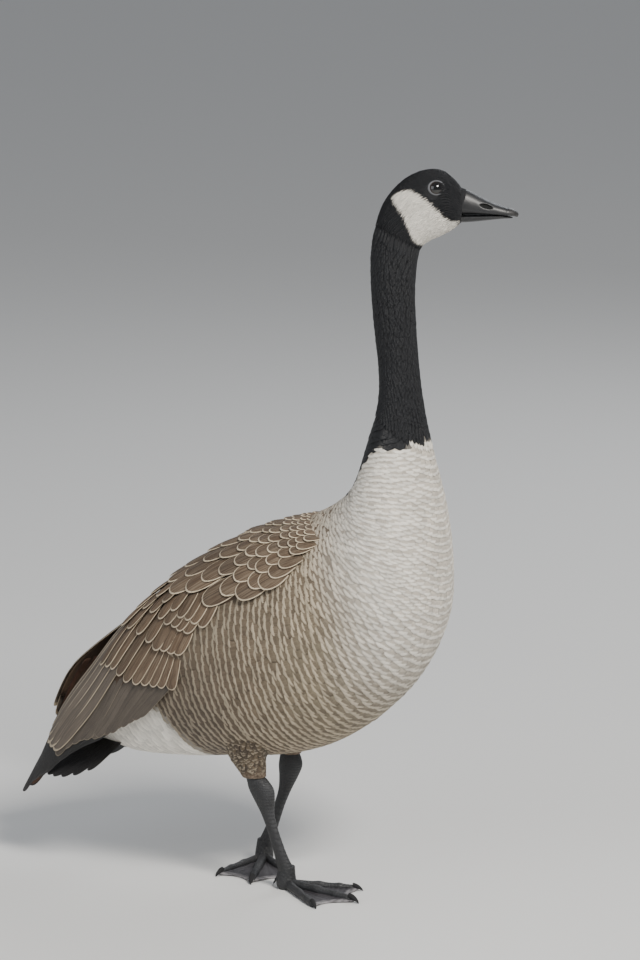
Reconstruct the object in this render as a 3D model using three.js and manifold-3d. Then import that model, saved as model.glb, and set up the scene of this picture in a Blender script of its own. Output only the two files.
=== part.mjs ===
// A standing Canada goose at life size, in millimetres: +X ahead, +Y to its left, +Z up, soles at z = 0.
// Head, neck and torso are lofts of oval sections. Wings and tail are a thin core with overlapping vanes.
import * as THREE from "three";
import { mergeVertices } from "three/addons/utils/BufferGeometryUtils.js";
import Module from "manifold-3d";

const wasm = await Module();
wasm.setup();

// Driving dimensions
const GAP = 0.3; // clearance between neighbouring nodes
const HEAD_TURN = THREE.MathUtils.degToRad(20); // head turned to the left
const TURN_AXIS_X = 100; // vertical axis that the head turns about
const TURN_FROM_Z = 500;
const TURN_HEIGHT = 150;
const TORSO_SIDES = 24;
const NECK_SIDES = 18;
const HEAD_SIDES = 18;
const BILL_SIDES = 12;
const LEG_SIDES = 10;
const TOE_SIDES = 8;
const WING_THICK = 7; // core of the folded wing
const WING_EDGE_THICK = 2;
const WING_STEPS = 14; // facets along and across the folded wing
const WING_ACROSS = 5;
const WING_CORE_END = 0.87; // share of the wing's length that the core fills
const LEFT_WING_LIFT = 19; // the left wing is folded a little higher
const EYE = { x: 139, z: 711.5, y: 9.6, r: 8.6 };
const LID = { ring: 7.4, tube: 1.5, out: 6.0 };

// Oval sections: back point x, z; belly point x, z; half width; level of the widest point; squareness
const BODY = [
  [-243, 126, -237, 114, 10, 0.5, 2.0],
  [-230, 170, -214, 133, 26, 0.5, 2.0],
  [-196, 222, -170, 124, 48, 0.52, 2.05],
  [-152, 290, -115, 125, 76, 0.52, 2.1],
  [-100, 327, -58, 131, 95, 0.5, 2.15],
  [-47, 354, -5, 137, 102, 0.48, 2.2],
  [5, 376, 43, 152, 101, 0.47, 2.15],
  [38, 393, 89, 183, 92, 0.46, 2.1],
  [56, 409, 128, 226, 85, 0.46, 2.06],
  [66, 427, 152, 280, 77, 0.46, 2.08],
  [72, 449, 156, 338, 64, 0.47, 2.0],
  [77, 469, 151, 391, 48, 0.48, 2.0],
  [82, 487, 141, 438, 34, 0.5, 2.0],
  [85, 508, 132, 478, 24.5, 0.5, 2.0],
  [84, 535, 125, 522, 20, 0.5, 2.0],
  [80, 570, 121, 566, 19.5, 0.5, 2.0],
  [77, 605, 119, 606, 19.5, 0.5, 2.0],
  [76, 640, 121, 638, 19.6, 0.5, 2.0],
];
const HEAD = [
  [77, 605, 119, 606, 19.5, 0.5, 2.0],
  [76, 640, 121, 638, 19.6, 0.5, 2.0],
  [79, 668, 125, 652, 19.6, 0.5, 2.0],
  [88, 696, 133, 659, 19, 0.5, 2.0],
  [105, 717, 144, 664, 18.5, 0.52, 2.1],
  [125, 728, 152, 668, 18, 0.55, 2.1],
  [144, 729, 158, 672, 17, 0.55, 2.1],
  [157, 720, 162, 675, 14.2, 0.5, 2.1],
  [165, 711, 165, 677.5, 11.6, 0.42, 2.1],
];
const BILL_UPPER = [
  [165.3, 710.6, 165.3, 685, 11.2, 0.3, 2.1],
  [172, 708.6, 172, 685.1, 11.2, 0.28, 2.1],
  [184, 702.4, 184, 685.2, 10.9, 0.25, 2.2],
  [196, 696.8, 196, 685, 10.2, 0.22, 2.3],
  [207, 693, 207, 684.6, 9, 0.2, 2.3],
  [215, 690.6, 215, 683.4, 6.6, 0.3, 2.2],
  [219, 688, 218.6, 682.6, 3.8, 0.45, 2],
  [220.6, 685.6, 219.8, 682.8, 1.6, 0.5, 2],
];
const BILL_LOWER = [
  [165.3, 684.5, 165.3, 677.4, 9.4, 0.75, 2.2],
  [176, 684.6, 176, 678, 9.2, 0.75, 2.2],
  [190, 684.7, 190, 679.4, 8.7, 0.75, 2.2],
  [203, 684.3, 203, 680.8, 7.5, 0.7, 2.2],
  [211, 683.4, 211, 681.2, 5.2, 0.6, 2],
  [214.6, 682.4, 214.6, 681.4, 2.4, 0.5, 2],
];
const NOSTRIL = { x: 189, z: 693, long: 6.4, deep: 4, high: 2 };

// Folded right wing: top line x, y, z and lower line x, y, z, from the shoulder to the tip
const WING = [
  [42, -2, 383, 42, -92, 318],
  [-6, -2, 373, 12, -98, 289],
  [-50, -2, 358, -28, -100, 260],
  [-94, -2, 334, -68, -97, 233],
  [-139, -2, 302, -108, -89, 206],
  [-183, -3, 262, -152, -78, 175],
  [-219, -4, 214, -192, -63, 151],
  [-253, -6, 165, -236, -44, 128],
  [-303, -10, 74, -298, -16, 68],
];
// Lower limit of the wing, along its length: the flank covers what is below it
const WING_LIMIT = [
  [0.045, 0.5], [0.1, 0.6], [0.16, 0.74], [0.25, 0.77], [0.35, 0.76], [0.43, 0.79], [0.485, 0.9],
  [0.505, 1.0], [1.0, 1.0],
];

// Rows of vanes: roots and tips as (along, across) on the wing, with counts, half widths and heights
const SCAPULAR_TIPS = [0.16, 0.225, 0.3, 0.38, 0.475];
const SCAPULAR_LIMIT = [[0.1, 0.52], [0.16, 0.7], [0.23, 0.71], [0.335, 0.66], [0.4, 0.56], [0.5, 0.3]];
const WING_ROWS = [
  {
    name: "primaries",
    roots: [[0.72, 0.9], [0.76, 0.5], [0.8, 0.1]],
    tips: [[0.93, 0.97], [0.97, 0.8], [1.0, 0.4]],
    count: 4, half: 9.5, rise: [-2.5, -1.2], thick: 1.2, blunt: 0.45, segments: 2,
  },
  {
    name: "secondaries",
    roots: [[0.42, 0.86], [0.5, 0.68], [0.62, 0.42]],
    tips: [[0.62, 1.0], [0.76, 0.99], [0.905, 0.9]],
    count: 7, half: 8.6, rise: [-2, 1.4], thick: 1.1, blunt: 0.5, segments: 2,
  },
  {
    name: "tertials",
    roots: [[0.54, 0.42], [0.56, 0.22], [0.56, 0.05]],
    tips: [[0.905, 0.74], [0.915, 0.4], [0.9, 0.1]],
    count: 4, half: 11, rise: [-2, 2.2], thick: 1.3, blunt: 0.55, segments: 2,
  },
  {
    name: "greater_coverts",
    roots: [[0.42, 0.72], [0.49, 0.5], [0.56, 0.16]],
    tips: [[0.485, 0.985], [0.575, 0.82], [0.67, 0.48]],
    count: 6, half: 7.6, rise: [-1.6, 3.2], thick: 1.1, blunt: 0.7, segments: 2,
  },
  {
    name: "median_coverts",
    roots: [[0.37, 0.62], [0.44, 0.42], [0.5, 0.1]],
    tips: [[0.44, 0.8], [0.51, 0.68], [0.6, 0.26]],
    count: 4, half: 10.4, rise: [-1.6, 4], thick: 1.2, blunt: 0.7, segments: 2,
  },
  {
    name: "lesser_coverts",
    roots: [[0.29, 0.6], [0.38, 0.42], [0.44, 0.1]],
    tips: [[0.37, 0.745], [0.46, 0.6], [0.545, 0.2]],
    count: 4, half: 10.4, rise: [-1.6, 4.4], thick: 1.2, blunt: 0.7, segments: 2,
  },
];
const TAIL = {
  count: 11, rootX: -185, rootHalf: 17, middleZ: 163, sideZ: 141, tipX: -278, tipZ: 95,
  tipHalf: 55, sideBack: 69, sideRise: 16, half: 12, thick: 1.2, roof: 26,
};

// Legs: x, y, z, half length fore and aft, half width, from the top down
const THIGH_RIGHT = [
  [-22, -50, 186, 34, 26], [-34, -50, 158, 26, 21], [-38, -49, 140, 18.5, 15.5], [-35, -48, 129, 14.5, 12],
  [-32, -47, 119.4, 11, 9.5],
];
const THIGH_LEFT = [
  [-12, 50, 188, 34, 26], [-22, 50, 162, 26, 21], [-26, 49, 145, 20, 16], [-28, 48, 133, 14.5, 12],
  [-29, 47, 122.4, 11, 9.5],
];
const SHANK_RIGHT = [
  [-31.5, -47, 119, 9.5, 8.4], [-28, -46.5, 113.5, 11.5, 8.6],
  [-24.6, -45.5, 105, 13.2, 8.4], [-22, -43.5, 93, 10.6, 7.2],
  [-19.6, -41, 79, 7, 5.2], [-15.5, -38, 62, 5.8, 4.6],
  [-9.5, -33.5, 38, 6.6, 5], [-5.2, -30.6, 23, 8.2, 6.6],
];
const SHANK_LEFT = [
  [-28.9, 47, 122, 9.5, 8.4], [-28, 47, 116.5, 11.5, 8.6],
  [-28, 47, 108, 12.6, 8.4], [-30.5, 48, 96, 10, 7.2],
  [-35, 49.6, 82, 7, 5.2], [-42, 52, 64, 5.8, 4.6], [-52, 56, 39, 6.6, 5], [-58.6, 58.4, 23, 8.2, 6.6],
];
const TOES = [
  { turn: 31, long: 78, r: 5.2 },
  { turn: 0, long: 92, r: 5.8 },
  { turn: -31, long: 82, r: 5.2 },
];
const HALLUX = { turn: 168, long: 22, r: 3.4, top: 16 };
const FEET = {
  right: { x: -3.4, y: -29.2, heading: -18 },
  left: { x: -62, y: 60, heading: -78 },
};
const WEB_THICK = 2;

const radians = THREE.MathUtils.degToRad;
const mix = (a, b, t) => a + (b - a) * t;
const clamp01 = (x) => Math.min(1, Math.max(0, x));
const ease = (x) => clamp01(x) * clamp01(x) * (3 - 2 * clamp01(x));

// A smooth curve through the rows of a table, t from 0 to 1, carried on straight past its ends.
function spline(rows, t) {
  const last = rows.length - 1;
  const inside = clamp01(t);
  const at = Math.min(last - 1, Math.floor(inside * last));
  const u = inside * last - at;
  const row = (i) => (i < 0 ? rows[0].map((a, k) => 2 * a - rows[1][k])
    : i > last ? rows[last].map((a, k) => 2 * a - rows[last - 1][k]) : rows[i]);
  const [a, b, c, d] = [row(at - 1), row(at), row(at + 1), row(at + 2)];
  const over = (t - inside) * last;
  return b.map((_, k) => {
    const value = 0.5 * (2 * b[k] + (c[k] - a[k]) * u + (2 * a[k] - 5 * b[k] + 4 * c[k] - d[k]) * u * u
      + (3 * b[k] - 3 * c[k] + d[k] - a[k]) * u * u * u);
    return value + over * (c[k] - b[k]);
  });
}

// Straight pieces through points of any length, t from 0 to 1.
function polyline(points, t) {
  const at = Math.min(points.length - 2, Math.floor(t * (points.length - 1)));
  const u = t * (points.length - 1) - at;
  return points[at].map((a, k) => mix(a, points[at + 1][k], u));
}

// Value of a table of (key, value) at x.
function lookup(table, x) {
  if (x <= table[0][0]) return table[0][1];
  for (let i = 1; i < table.length; i++)
    if (x <= table[i][0]) {
      const [[x0, y0], [x1, y1]] = [table[i - 1], table[i]];
      return mix(y0, y1, (x - x0) / (x1 - x0));
    }
  return table[table.length - 1][1];
}

// Turns the upper neck and the head about a vertical axis, more with height.
function turned(p) {
  const angle = HEAD_TURN * clamp01((p.z - TURN_FROM_Z) / TURN_HEIGHT);
  const x = p.x - TURN_AXIS_X;
  return new THREE.Vector3(TURN_AXIS_X + x * Math.cos(angle) - p.y * Math.sin(angle),
    x * Math.sin(angle) + p.y * Math.cos(angle), p.z);
}

const power = (x, e) => Math.sign(x) * Math.abs(x) ** e;

// One oval section: the back half reaches to the back point, the other half to the belly point.
function ovalRing([bx, bz, vx, vz, half, level, square], sides, grow = 0) {
  const cx = mix(vx, bx, level);
  const cz = mix(vz, bz, level);
  return Array.from({ length: sides }, (_, k) => {
    const a = (2 * Math.PI * k) / sides;
    const up = power(Math.cos(a), 2 / square);
    const out = power(Math.sin(a), 2 / square);
    const [ex, ez] = up >= 0 ? [bx - cx, bz - cz] : [cx - vx, cz - vz];
    return turned(new THREE.Vector3(cx + ex * up, (half + grow) * out, cz + ez * up));
  });
}

// One round section of a leg, level, with its own half length and half width.
const levelRing = ([x, y, z, ahead, half], sides, grow = 0) =>
  Array.from({ length: sides }, (_, k) => {
    const a = (2 * Math.PI * k) / sides;
    return new THREE.Vector3(x + (ahead + grow) * Math.cos(a), y + (half + grow) * Math.sin(a), z);
  });

// Closed surface through rings of equal count, with a fan at each end.
function loft(rings) {
  const sides = rings[0].length;
  const points = rings.flat();
  const triangles = [];
  for (let i = 0; i + 1 < rings.length; i++)
    for (let k = 0; k < sides; k++) {
      const a = i * sides + k;
      const b = i * sides + ((k + 1) % sides);
      triangles.push(a, b, b + sides, a, b + sides, a + sides);
    }
  for (const [ring, flip] of [[0, true], [rings.length - 1, false]]) {
    const centre = points.length;
    points.push(rings[ring].reduce((sum, p) => sum.add(p), new THREE.Vector3()).divideScalar(sides));
    for (let k = 0; k < sides; k++) {
      const a = ring * sides + k;
      const b = ring * sides + ((k + 1) % sides);
      triangles.push(...(flip ? [centre, b, a] : [centre, a, b]));
    }
  }
  return closed(points, triangles);
}

// A solid from points and triangles, turned to face outwards.
function closed(points, triangles) {
  const geometry = new THREE.BufferGeometry().setFromPoints(points);
  geometry.setIndex(triangles);
  return solid(geometry);
}

// A solid from any closed three.js geometry.
function solid(source) {
  const bare = source.clone();
  bare.deleteAttribute("normal");
  bare.deleteAttribute("uv");
  const merged = mergeVertices(bare, 1e-4);
  const corners = new Uint32Array(merged.index.array);
  const at = merged.attributes.position.array;
  let volume = 0;
  for (let i = 0; i < corners.length; i += 3) {
    const [a, b, c] = [0, 1, 2].map((k) => new THREE.Vector3().fromArray(at, 3 * corners[i + k]));
    volume += a.dot(b.cross(c));
  }
  if (volume < 0)
    for (let i = 0; i < corners.length; i += 3) {
      [corners[i + 1], corners[i + 2]] = [corners[i + 2], corners[i + 1]];
    }
  const mesh = new wasm.Mesh({ numProp: 3, vertProperties: new Float32Array(at), triVerts: corners });
  return new wasm.Manifold(mesh);
}

const fuse = (list) => list.reduce((whole, piece) => whole.add(piece));

// The largest closed surface of a solid.
const largest = (whole) =>
  whole.decompose().reduce((best, piece) => (piece.volume() > best.volume() ? piece : best));

// A named mesh from a solid.
function node(name, whole, colour, roughness) {
  const made = largest(whole).getMesh();
  const stride = made.numProp;
  const at = new Float32Array(3 * made.numVert);
  for (let i = 0; i < made.numVert; i++) {
    at.set(made.vertProperties.subarray(i * stride, i * stride + 3), 3 * i);
  }
  const geometry = new THREE.BufferGeometry().setAttribute("position", new THREE.BufferAttribute(at, 3));
  geometry.setIndex(new THREE.BufferAttribute(made.triVerts, 1));
  const material = new THREE.MeshStandardMaterial({ color: colour, roughness, metalness: 0 });
  const mesh = new THREE.Mesh(geometry, material);
  mesh.name = name;
  return mesh;
}

// Rings of a table between two places on it.
const ringsOf = (table, from, to, count, sides, grow = 0) =>
  Array.from({ length: count + 1 }, (_, i) => ovalRing(spline(table, mix(from, to, i / count)), sides, grow));

// The folded wing as a surface: s along it from shoulder to tip, v from the top line out and down.
// Its section is a quarter of an ellipse. side is -1 for the right wing and 1 for the left.
function wingPoint(s, v, side) {
  const [tx, ty, tz, lx, ly, lz] = spline(WING, s);
  const down = 1 - Math.cos((Math.PI * v) / 2);
  const out = Math.sin((Math.PI * v) / 2);
  const hump = Math.sin(Math.PI * clamp01((s - 0.58) / 0.48)) ** 2;
  const raise = side > 0 ? LEFT_WING_LIFT * hump * (1 - clamp01(v)) : 0;
  const x = mix(tx, lx, down) - 0.8 * raise;
  return new THREE.Vector3(x, -side * mix(ty, ly, out), mix(tz, lz, down) + 0.65 * raise);
}
function wingNormal(s, v, side) {
  const step = 0.01;
  const along = wingPoint(s + step, v, side).sub(wingPoint(s - step, v, side));
  const across = wingPoint(s, Math.min(1, v + step), side).sub(wingPoint(s, Math.max(0, v - step), side));
  return along.cross(across).multiplyScalar(-side).normalize();
}
const onWing = (s, v, side, lift) => wingPoint(s, v, side).addScaledVector(wingNormal(s, v, side), lift);

// A shell that follows the wing: outer and inner faces at given heights, its outline grown by a margin.
function wingShell({ side, from, to, steps, across, limit, outer, inner, margin }) {
  const rows = Array.from({ length: steps + 1 }, (_, i) => mix(from, to, i / steps));
  rows[0] -= margin / 430;
  rows[steps] += margin / 430;
  const grid = (height) => rows.flatMap((s) => Array.from({ length: across + 1 }, (_, k) => {
    const v = (k / across) * limit(s) + (k === across ? margin / 130 : 0);
    const p = onWing(s, v, side, height(s, v));
    if (k === 0) p.y = side * Math.max(GAP / 2, 2 - margin);
    return p;
  }));
  const points = [...grid(outer), ...grid(inner)];
  const width = across + 1;
  const under = rows.length * width;
  const triangles = [];
  const quad = (a, b, c, d) => triangles.push(a, b, c, a, c, d);
  for (let i = 0; i < steps; i++)
    for (let k = 0; k < across; k++) {
      const a = i * width + k;
      quad(a, a + 1, a + 1 + width, a + width);
      quad(under + a, under + a + width, under + a + 1 + width, under + a + 1);
    }
  for (let i = 0; i < steps; i++) {
    const [a, b] = [i * width, (i + 1) * width];
    quad(a, b, under + b, under + a);
    quad(a + across, under + a + across, under + b + across, b + across);
  }
  for (let k = 0; k < across; k++) {
    const end = steps * width + k;
    quad(k, under + k, under + k + 1, k + 1);
    quad(end, end + 1, under + end + 1, under + end);
  }
  return closed(points, triangles);
}

// A feather vane: thin, crowned, with a rounded tip, from stations with a centre and two directions.
function vane(stations, thick) {
  const points = stations.flatMap(({ at, beside, up, half, roll }) => {
    const drop = (half * half) / 170 + 0.25;
    return [1, -1].flatMap((face) => [-1, 0, 1].map((edge) => at.clone()
      .addScaledVector(beside, edge * half)
      .addScaledVector(up, (edge ? -drop : 0) + edge * roll * half + face * thick * (edge ? 0.3 : 0.5))));
  });
  const triangles = [];
  const quad = (a, b, c, d) => triangles.push(a, b, c, a, c, d);
  for (let i = 0; i + 1 < stations.length; i++) {
    const [a, b] = [6 * i, 6 * i + 6];
    for (const k of [0, 1]) {
      quad(a + k, a + k + 1, b + k + 1, b + k);
      triangles.push(a + 3 + k, b + 4 + k, a + 4 + k, a + 3 + k, b + 3 + k, b + 4 + k);
    }
    quad(a + 2, a + 5, b + 5, b + 2);
    quad(a, b, b + 3, a + 3);
  }
  const end = 6 * (stations.length - 1);
  quad(0, 3, 4, 1);
  quad(1, 4, 5, 2);
  quad(end, end + 1, end + 4, end + 3);
  quad(end + 1, end + 2, end + 5, end + 4);
  return closed(points, triangles);
}

// One vane laid on the wing from a root to a tip.
function wingVane(side, root, tip, { half, rise, thick, blunt, roll = 0.13, segments = 3 }) {
  const long = [[0, 0.7], [0.45, 1], [0.82, 0.95], [1, blunt]];
  const short = [[0, 0.8], [0.7, 1], [1, blunt]];
  const profile = segments === 3 ? long : short;
  return vane(profile.map(([t, wide]) => {
    const [s, v] = [mix(root[0], tip[0], t), mix(root[1], tip[1], t)];
    const up = wingNormal(s, v, side);
    const step = 0.02;
    const ahead = wingPoint(s + (tip[0] - root[0]) * step, v + (tip[1] - root[1]) * step, side)
      .sub(wingPoint(s - (tip[0] - root[0]) * step, v - (tip[1] - root[1]) * step, side)).normalize();
    const beside = ahead.clone().cross(up).normalize().multiplyScalar(side);
    return { at: onWing(s, v, side, mix(rise[0], rise[1], t)), beside, up, half: half * wide, roll };
  }), thick);
}

function scapulars(side) {
  const vanes = [];
  SCAPULAR_TIPS.forEach((tip, row) => {
    const limit = lookup(SCAPULAR_LIMIT, tip);
    const count = limit > 0.6 ? 3 : 2;
    for (let i = 0; i < count; i++) {
      const v = (limit * (i + (row % 2 ? 0.62 : 0.42))) / count;
      const long = 0.095 + 0.01 * row;
      const trim = 0.02 * (v / limit);
      const root = [Math.max(0.055, tip - long), v * 0.86];
      const end = [tip - trim, Math.min(v, limit - 0.03)];
      const half = (0.53 * limit * 134) / count;
      vanes.push(wingVane(side, root, end, {
        half, rise: [-1.8, 4.6], thick: 1.3, blunt: 0.6, roll: 0.06, segments: 2,
      }));
    }
  });
  return vanes;
}

function wing(side) {
  const limit = (s) => lookup(WING_LIMIT, s);
  const thickness = (s, v) => {
    const rear = ease((s - 0.45) / 0.4);
    const edge = ease((v - 0.6) / 0.4) * ease((s - 0.4) / 0.15);
    return mix(WING_THICK, WING_EDGE_THICK, Math.max(rear, edge));
  };
  const core = wingShell({
    side, from: WING_LIMIT[0][0], to: WING_CORE_END, steps: WING_STEPS, across: WING_ACROSS, limit,
    outer: () => 0, inner: (s, v) => -thickness(s, v), margin: 0,
  });
  const vanes = WING_ROWS.flatMap((row) => Array.from({ length: row.count }, (_, i) => {
    const u = row.count > 1 ? i / (row.count - 1) : 0.5;
    return wingVane(side, polyline(row.roots, u), polyline(row.tips, u), row);
  }));
  // Room that the wing may take: above the flank's edge nothing reaches past it
  const room = wingShell({
    side, from: WING_LIMIT[0][0], to: 1.02, steps: 18, across: 5, limit: (s) => (s < 0.497 ? limit(s) : 1.12),
    outer: () => 14, inner: () => -WING_THICK - 4, margin: 0,
  });
  return fuse([core, ...vanes, ...scapulars(side)]).intersect(room);
}

// Pocket of the torso that a wing lies in.
const wingPocket = (side) => wingShell({
  side, from: WING_LIMIT[0][0], to: WING_CORE_END, steps: WING_STEPS, across: WING_ACROSS,
  limit: (s) => lookup(WING_LIMIT, s), outer: () => 20, inner: () => -WING_THICK - 0.5, margin: 1.2,
});

function torso() {
  const last = BODY.length - 1;
  return loft(ringsOf(BODY, 2 / last, 12.35 / last, 22, TORSO_SIDES));
}

// Root and tip of a tail feather, u from -1 on the left to 1 on the right: a low roof, shorter at its sides.
function tailLine(u) {
  const side = Math.abs(u);
  return [
    new THREE.Vector3(TAIL.rootX, -TAIL.rootHalf * u, mix(TAIL.middleZ, TAIL.sideZ, side)),
    new THREE.Vector3(
      TAIL.tipX + TAIL.sideBack * side ** 2.4, -TAIL.tipHalf * u, TAIL.tipZ + TAIL.sideRise * side ** 5,
    ),
  ];
}

// The rump and its coverts, with the tail feathers fanned from it.
function tail() {
  const last = BODY.length - 1;
  const rump = loft(ringsOf(BODY, 0, 2 / last - 0.0012, 6, 18));
  const vanes = Array.from({ length: TAIL.count }, (_, i) => {
    const u = (2 * i) / (TAIL.count - 1) - 1;
    const [root, tip] = tailLine(u);
    const ahead = tip.clone().sub(root).normalize();
    const lean = radians(TAIL.roof) * u;
    const beside = new THREE.Vector3(0, Math.cos(lean), Math.sin(lean)).projectOnPlane(ahead).normalize();
    const up = beside.clone().cross(ahead).normalize();
    if (up.z < 0) up.negate();
    const profile = [[0, 0.6], [0.75, 1], [1, 0.55]];
    const stations = profile.map(([t, wide]) => ({
      at: root.clone().lerp(tip, t), beside, up, half: TAIL.half * wide, roll: 0,
    }));
    return vane(stations, TAIL.thick);
  });
  return fuse([rump.subtract(wingPocket(-1)).subtract(wingPocket(1)), ...vanes]);
}

function neck() {
  const last = BODY.length - 1;
  return loft(ringsOf(BODY, (12.35 + 0.02) / last, 1, 14, NECK_SIDES));
}

const eyeCentre = (side) => turned(new THREE.Vector3(EYE.x, side * EYE.y, EYE.z));

function eyeball(side, r) {
  const ball = new THREE.SphereGeometry(r, 12, 8);
  ball.rotateX(Math.PI / 2);
  ball.translate(...eyeCentre(side).toArray());
  return solid(ball);
}

// The fleshy ring of the lids, round the eye.
function lids(side) {
  const ring = new THREE.TorusGeometry(LID.ring, LID.tube, 5, 14);
  ring.rotateX(Math.PI / 2);
  ring.scale(1.08, 1, 0.94);
  ring.rotateZ(HEAD_TURN);
  const out = turned(new THREE.Vector3(EYE.x, side * (EYE.y + LID.out), EYE.z));
  ring.translate(...out.toArray());
  return solid(ring);
}

function head() {
  const last = HEAD.length - 1;
  let whole = loft(ringsOf(HEAD, 1 / last + 0.0016, 1, 16, HEAD_SIDES));
  for (const side of [-1, 1]) whole = whole.add(lids(side)).subtract(eyeball(side, EYE.r + GAP));
  return whole;
}

function billUpper() {
  let whole = loft(ringsOf(BILL_UPPER, 0, 1, 13, BILL_SIDES));
  const { x, z, long, deep, high } = NOSTRIL;
  for (const side of [-1, 1]) {
    const slot = new THREE.SphereGeometry(1, 10, 6);
    slot.scale(long, deep, high);
    slot.rotateY(radians(12));
    slot.rotateZ(HEAD_TURN);
    slot.translate(...turned(new THREE.Vector3(x, side * 10.4, z)).toArray());
    whole = whole.subtract(solid(slot));
  }
  return whole;
}

const billLower = () => loft(ringsOf(BILL_LOWER, 0, 1, 10, BILL_SIDES));

const leg = (stations, count) =>
  loft(Array.from({ length: count + 1 }, (_, i) => levelRing(spline(stations, i / count), LEG_SIDES)));

// A foot: three front toes with claws, webs between them, a raised hind toe and a flat sole.
function foot({ x, y, heading }, inward) {
  const ray = (turn, far, z) => {
    const a = radians(heading + turn * inward);
    return new THREE.Vector3(x + far * Math.cos(a), y + far * Math.sin(a), z);
  };
  const toe = ({ turn, long, r }) => {
    const a = radians(heading + turn * inward);
    const along = [
      [-6, 0.9, 1.25], [8, 1.05, 1.2], [0.38 * long, 1, 1.04], [0.6 * long, 0.85, 0.85],
      [0.68 * long, 0.95, 0.9],
      [0.88 * long, 0.7, 0.7], [long, 0.16, 0.2],
    ];
    return loft(along.map(([far, wide, high]) => Array.from({ length: TOE_SIDES }, (_, k) => {
      const b = (2 * Math.PI * (k + 0.5)) / TOE_SIDES;
      const flat = Math.max(0, r * high * (1.05 * Math.sin(b) + 0.92));
      return new THREE.Vector3(x + far * Math.cos(a) - r * wide * Math.cos(b) * Math.sin(a),
        y + far * Math.sin(a) + r * wide * Math.cos(b) * Math.cos(a), flat);
    })));
  };
  const web = (a, b) => {
    const between = (u) => ray(mix(a.turn, b.turn, u), mix(a.long, b.long, u) * 0.74, 0);
    const rim = [
      ray(a.turn, 2, 0), ray(a.turn, a.long * 0.86, 0), between(0.35), between(0.65),
      ray(b.turn, b.long * 0.86, 0),
    ];
    const shape = new THREE.Shape(rim.map((p) => new THREE.Vector2(p.x, p.y)));
    return solid(new THREE.ExtrudeGeometry(shape, { depth: WEB_THICK, bevelEnabled: false, steps: 1 }));
  };
  const padRings = [[-1, 0, 7.5, 7], [-1, 3, 10, 9], [-1, 10, 10.5, 9.5], [0, 22.6, 8.6, 7]];
  const pad = loft(padRings.map(([shift, z, ahead, half]) => {
    const a = radians(heading);
    return levelRing([x + shift * Math.cos(a), y + shift * Math.sin(a), z, ahead, half], 12);
  }));
  const hindRings = [[0, 1], [0.5, 0.85], [0.85, 0.6], [1, 0.2]];
  const hind = loft(hindRings.map(([t, wide]) => Array.from({ length: 6 }, (_, k) => {
    const a = radians(heading + HALLUX.turn * inward);
    const b = (2 * Math.PI * k) / 6;
    const far = mix(4, HALLUX.long, t);
    const r = HALLUX.r * wide;
    return new THREE.Vector3(
      x + far * Math.cos(a) - r * Math.cos(b) * Math.sin(a),
      y + far * Math.sin(a) + r * Math.cos(b) * Math.cos(a),
      mix(HALLUX.top, 3, t) + r * Math.sin(b),
    );
  })));
  return fuse([...TOES.map(toe), web(TOES[0], TOES[1]), web(TOES[1], TOES[2]), pad, hind]);
}

const leftThigh = leg(THIGH_LEFT, 8);
const rightThigh = leg(THIGH_RIGHT, 8);
const thighRoom = (stations) => loft(Array.from({ length: 9 }, (_, i) =>
  levelRing(spline(stations, mix(-0.01, 1, i / 8)), LEG_SIDES, 1.2 * GAP)));
const trunk = torso()
  .subtract(wingPocket(-1)).subtract(wingPocket(1))
  .subtract(thighRoom(THIGH_RIGHT)).subtract(thighRoom(THIGH_LEFT));

const BROWN = 0x6b5f52;
const BLACK = 0x17181a;
const goose = new THREE.Group();
goose.add(
  node("head", head(), BLACK, 0.8),
  node("bill_upper", billUpper(), BLACK, 0.4),
  node("bill_lower", billLower(), BLACK, 0.4),
  node("eye_right", eyeball(-1, EYE.r), 0x120c08, 0.1),
  node("eye_left", eyeball(1, EYE.r), 0x120c08, 0.1),
  node("neck", neck(), BLACK, 0.8),
  node("torso", trunk, 0xb9ada0, 0.85),
  node("tail", tail(), BLACK, 0.7),
  node("wing_right", wing(-1), BROWN, 0.75),
  node("wing_left", wing(1), BROWN, 0.75),
  node("thigh_right", rightThigh, BROWN, 0.85),
  node("thigh_left", leftThigh, BROWN, 0.85),
  node("shank_right", leg(SHANK_RIGHT, 12), BLACK, 0.6),
  node("shank_left", leg(SHANK_LEFT, 12), BLACK, 0.6),
  node("foot_right", foot(FEET.right, 1), BLACK, 0.6),
  node("foot_left", foot(FEET.left, -1), BLACK, 0.6),
);

// The origin is under the middle of the whole bird, on the ground
const extent = new THREE.Box3().setFromObject(goose);
const middle = extent.getCenter(new THREE.Vector3());
goose.position.set(-middle.x, -middle.y, 0);

export default goose;
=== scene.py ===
"""A standing Canada goose: one skin for head, neck and torso, with its feathers as thin closed vanes.

Sizes are in millimetres in the bird's own frame (+X ahead, +Y to its left, +Z up, soles at 0) and are
moved to the frame of the solids when a mesh is made.
"""

import logging
import math
from dataclasses import dataclass, field
from enum import Enum
from typing import Callable, ClassVar, Optional

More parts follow.
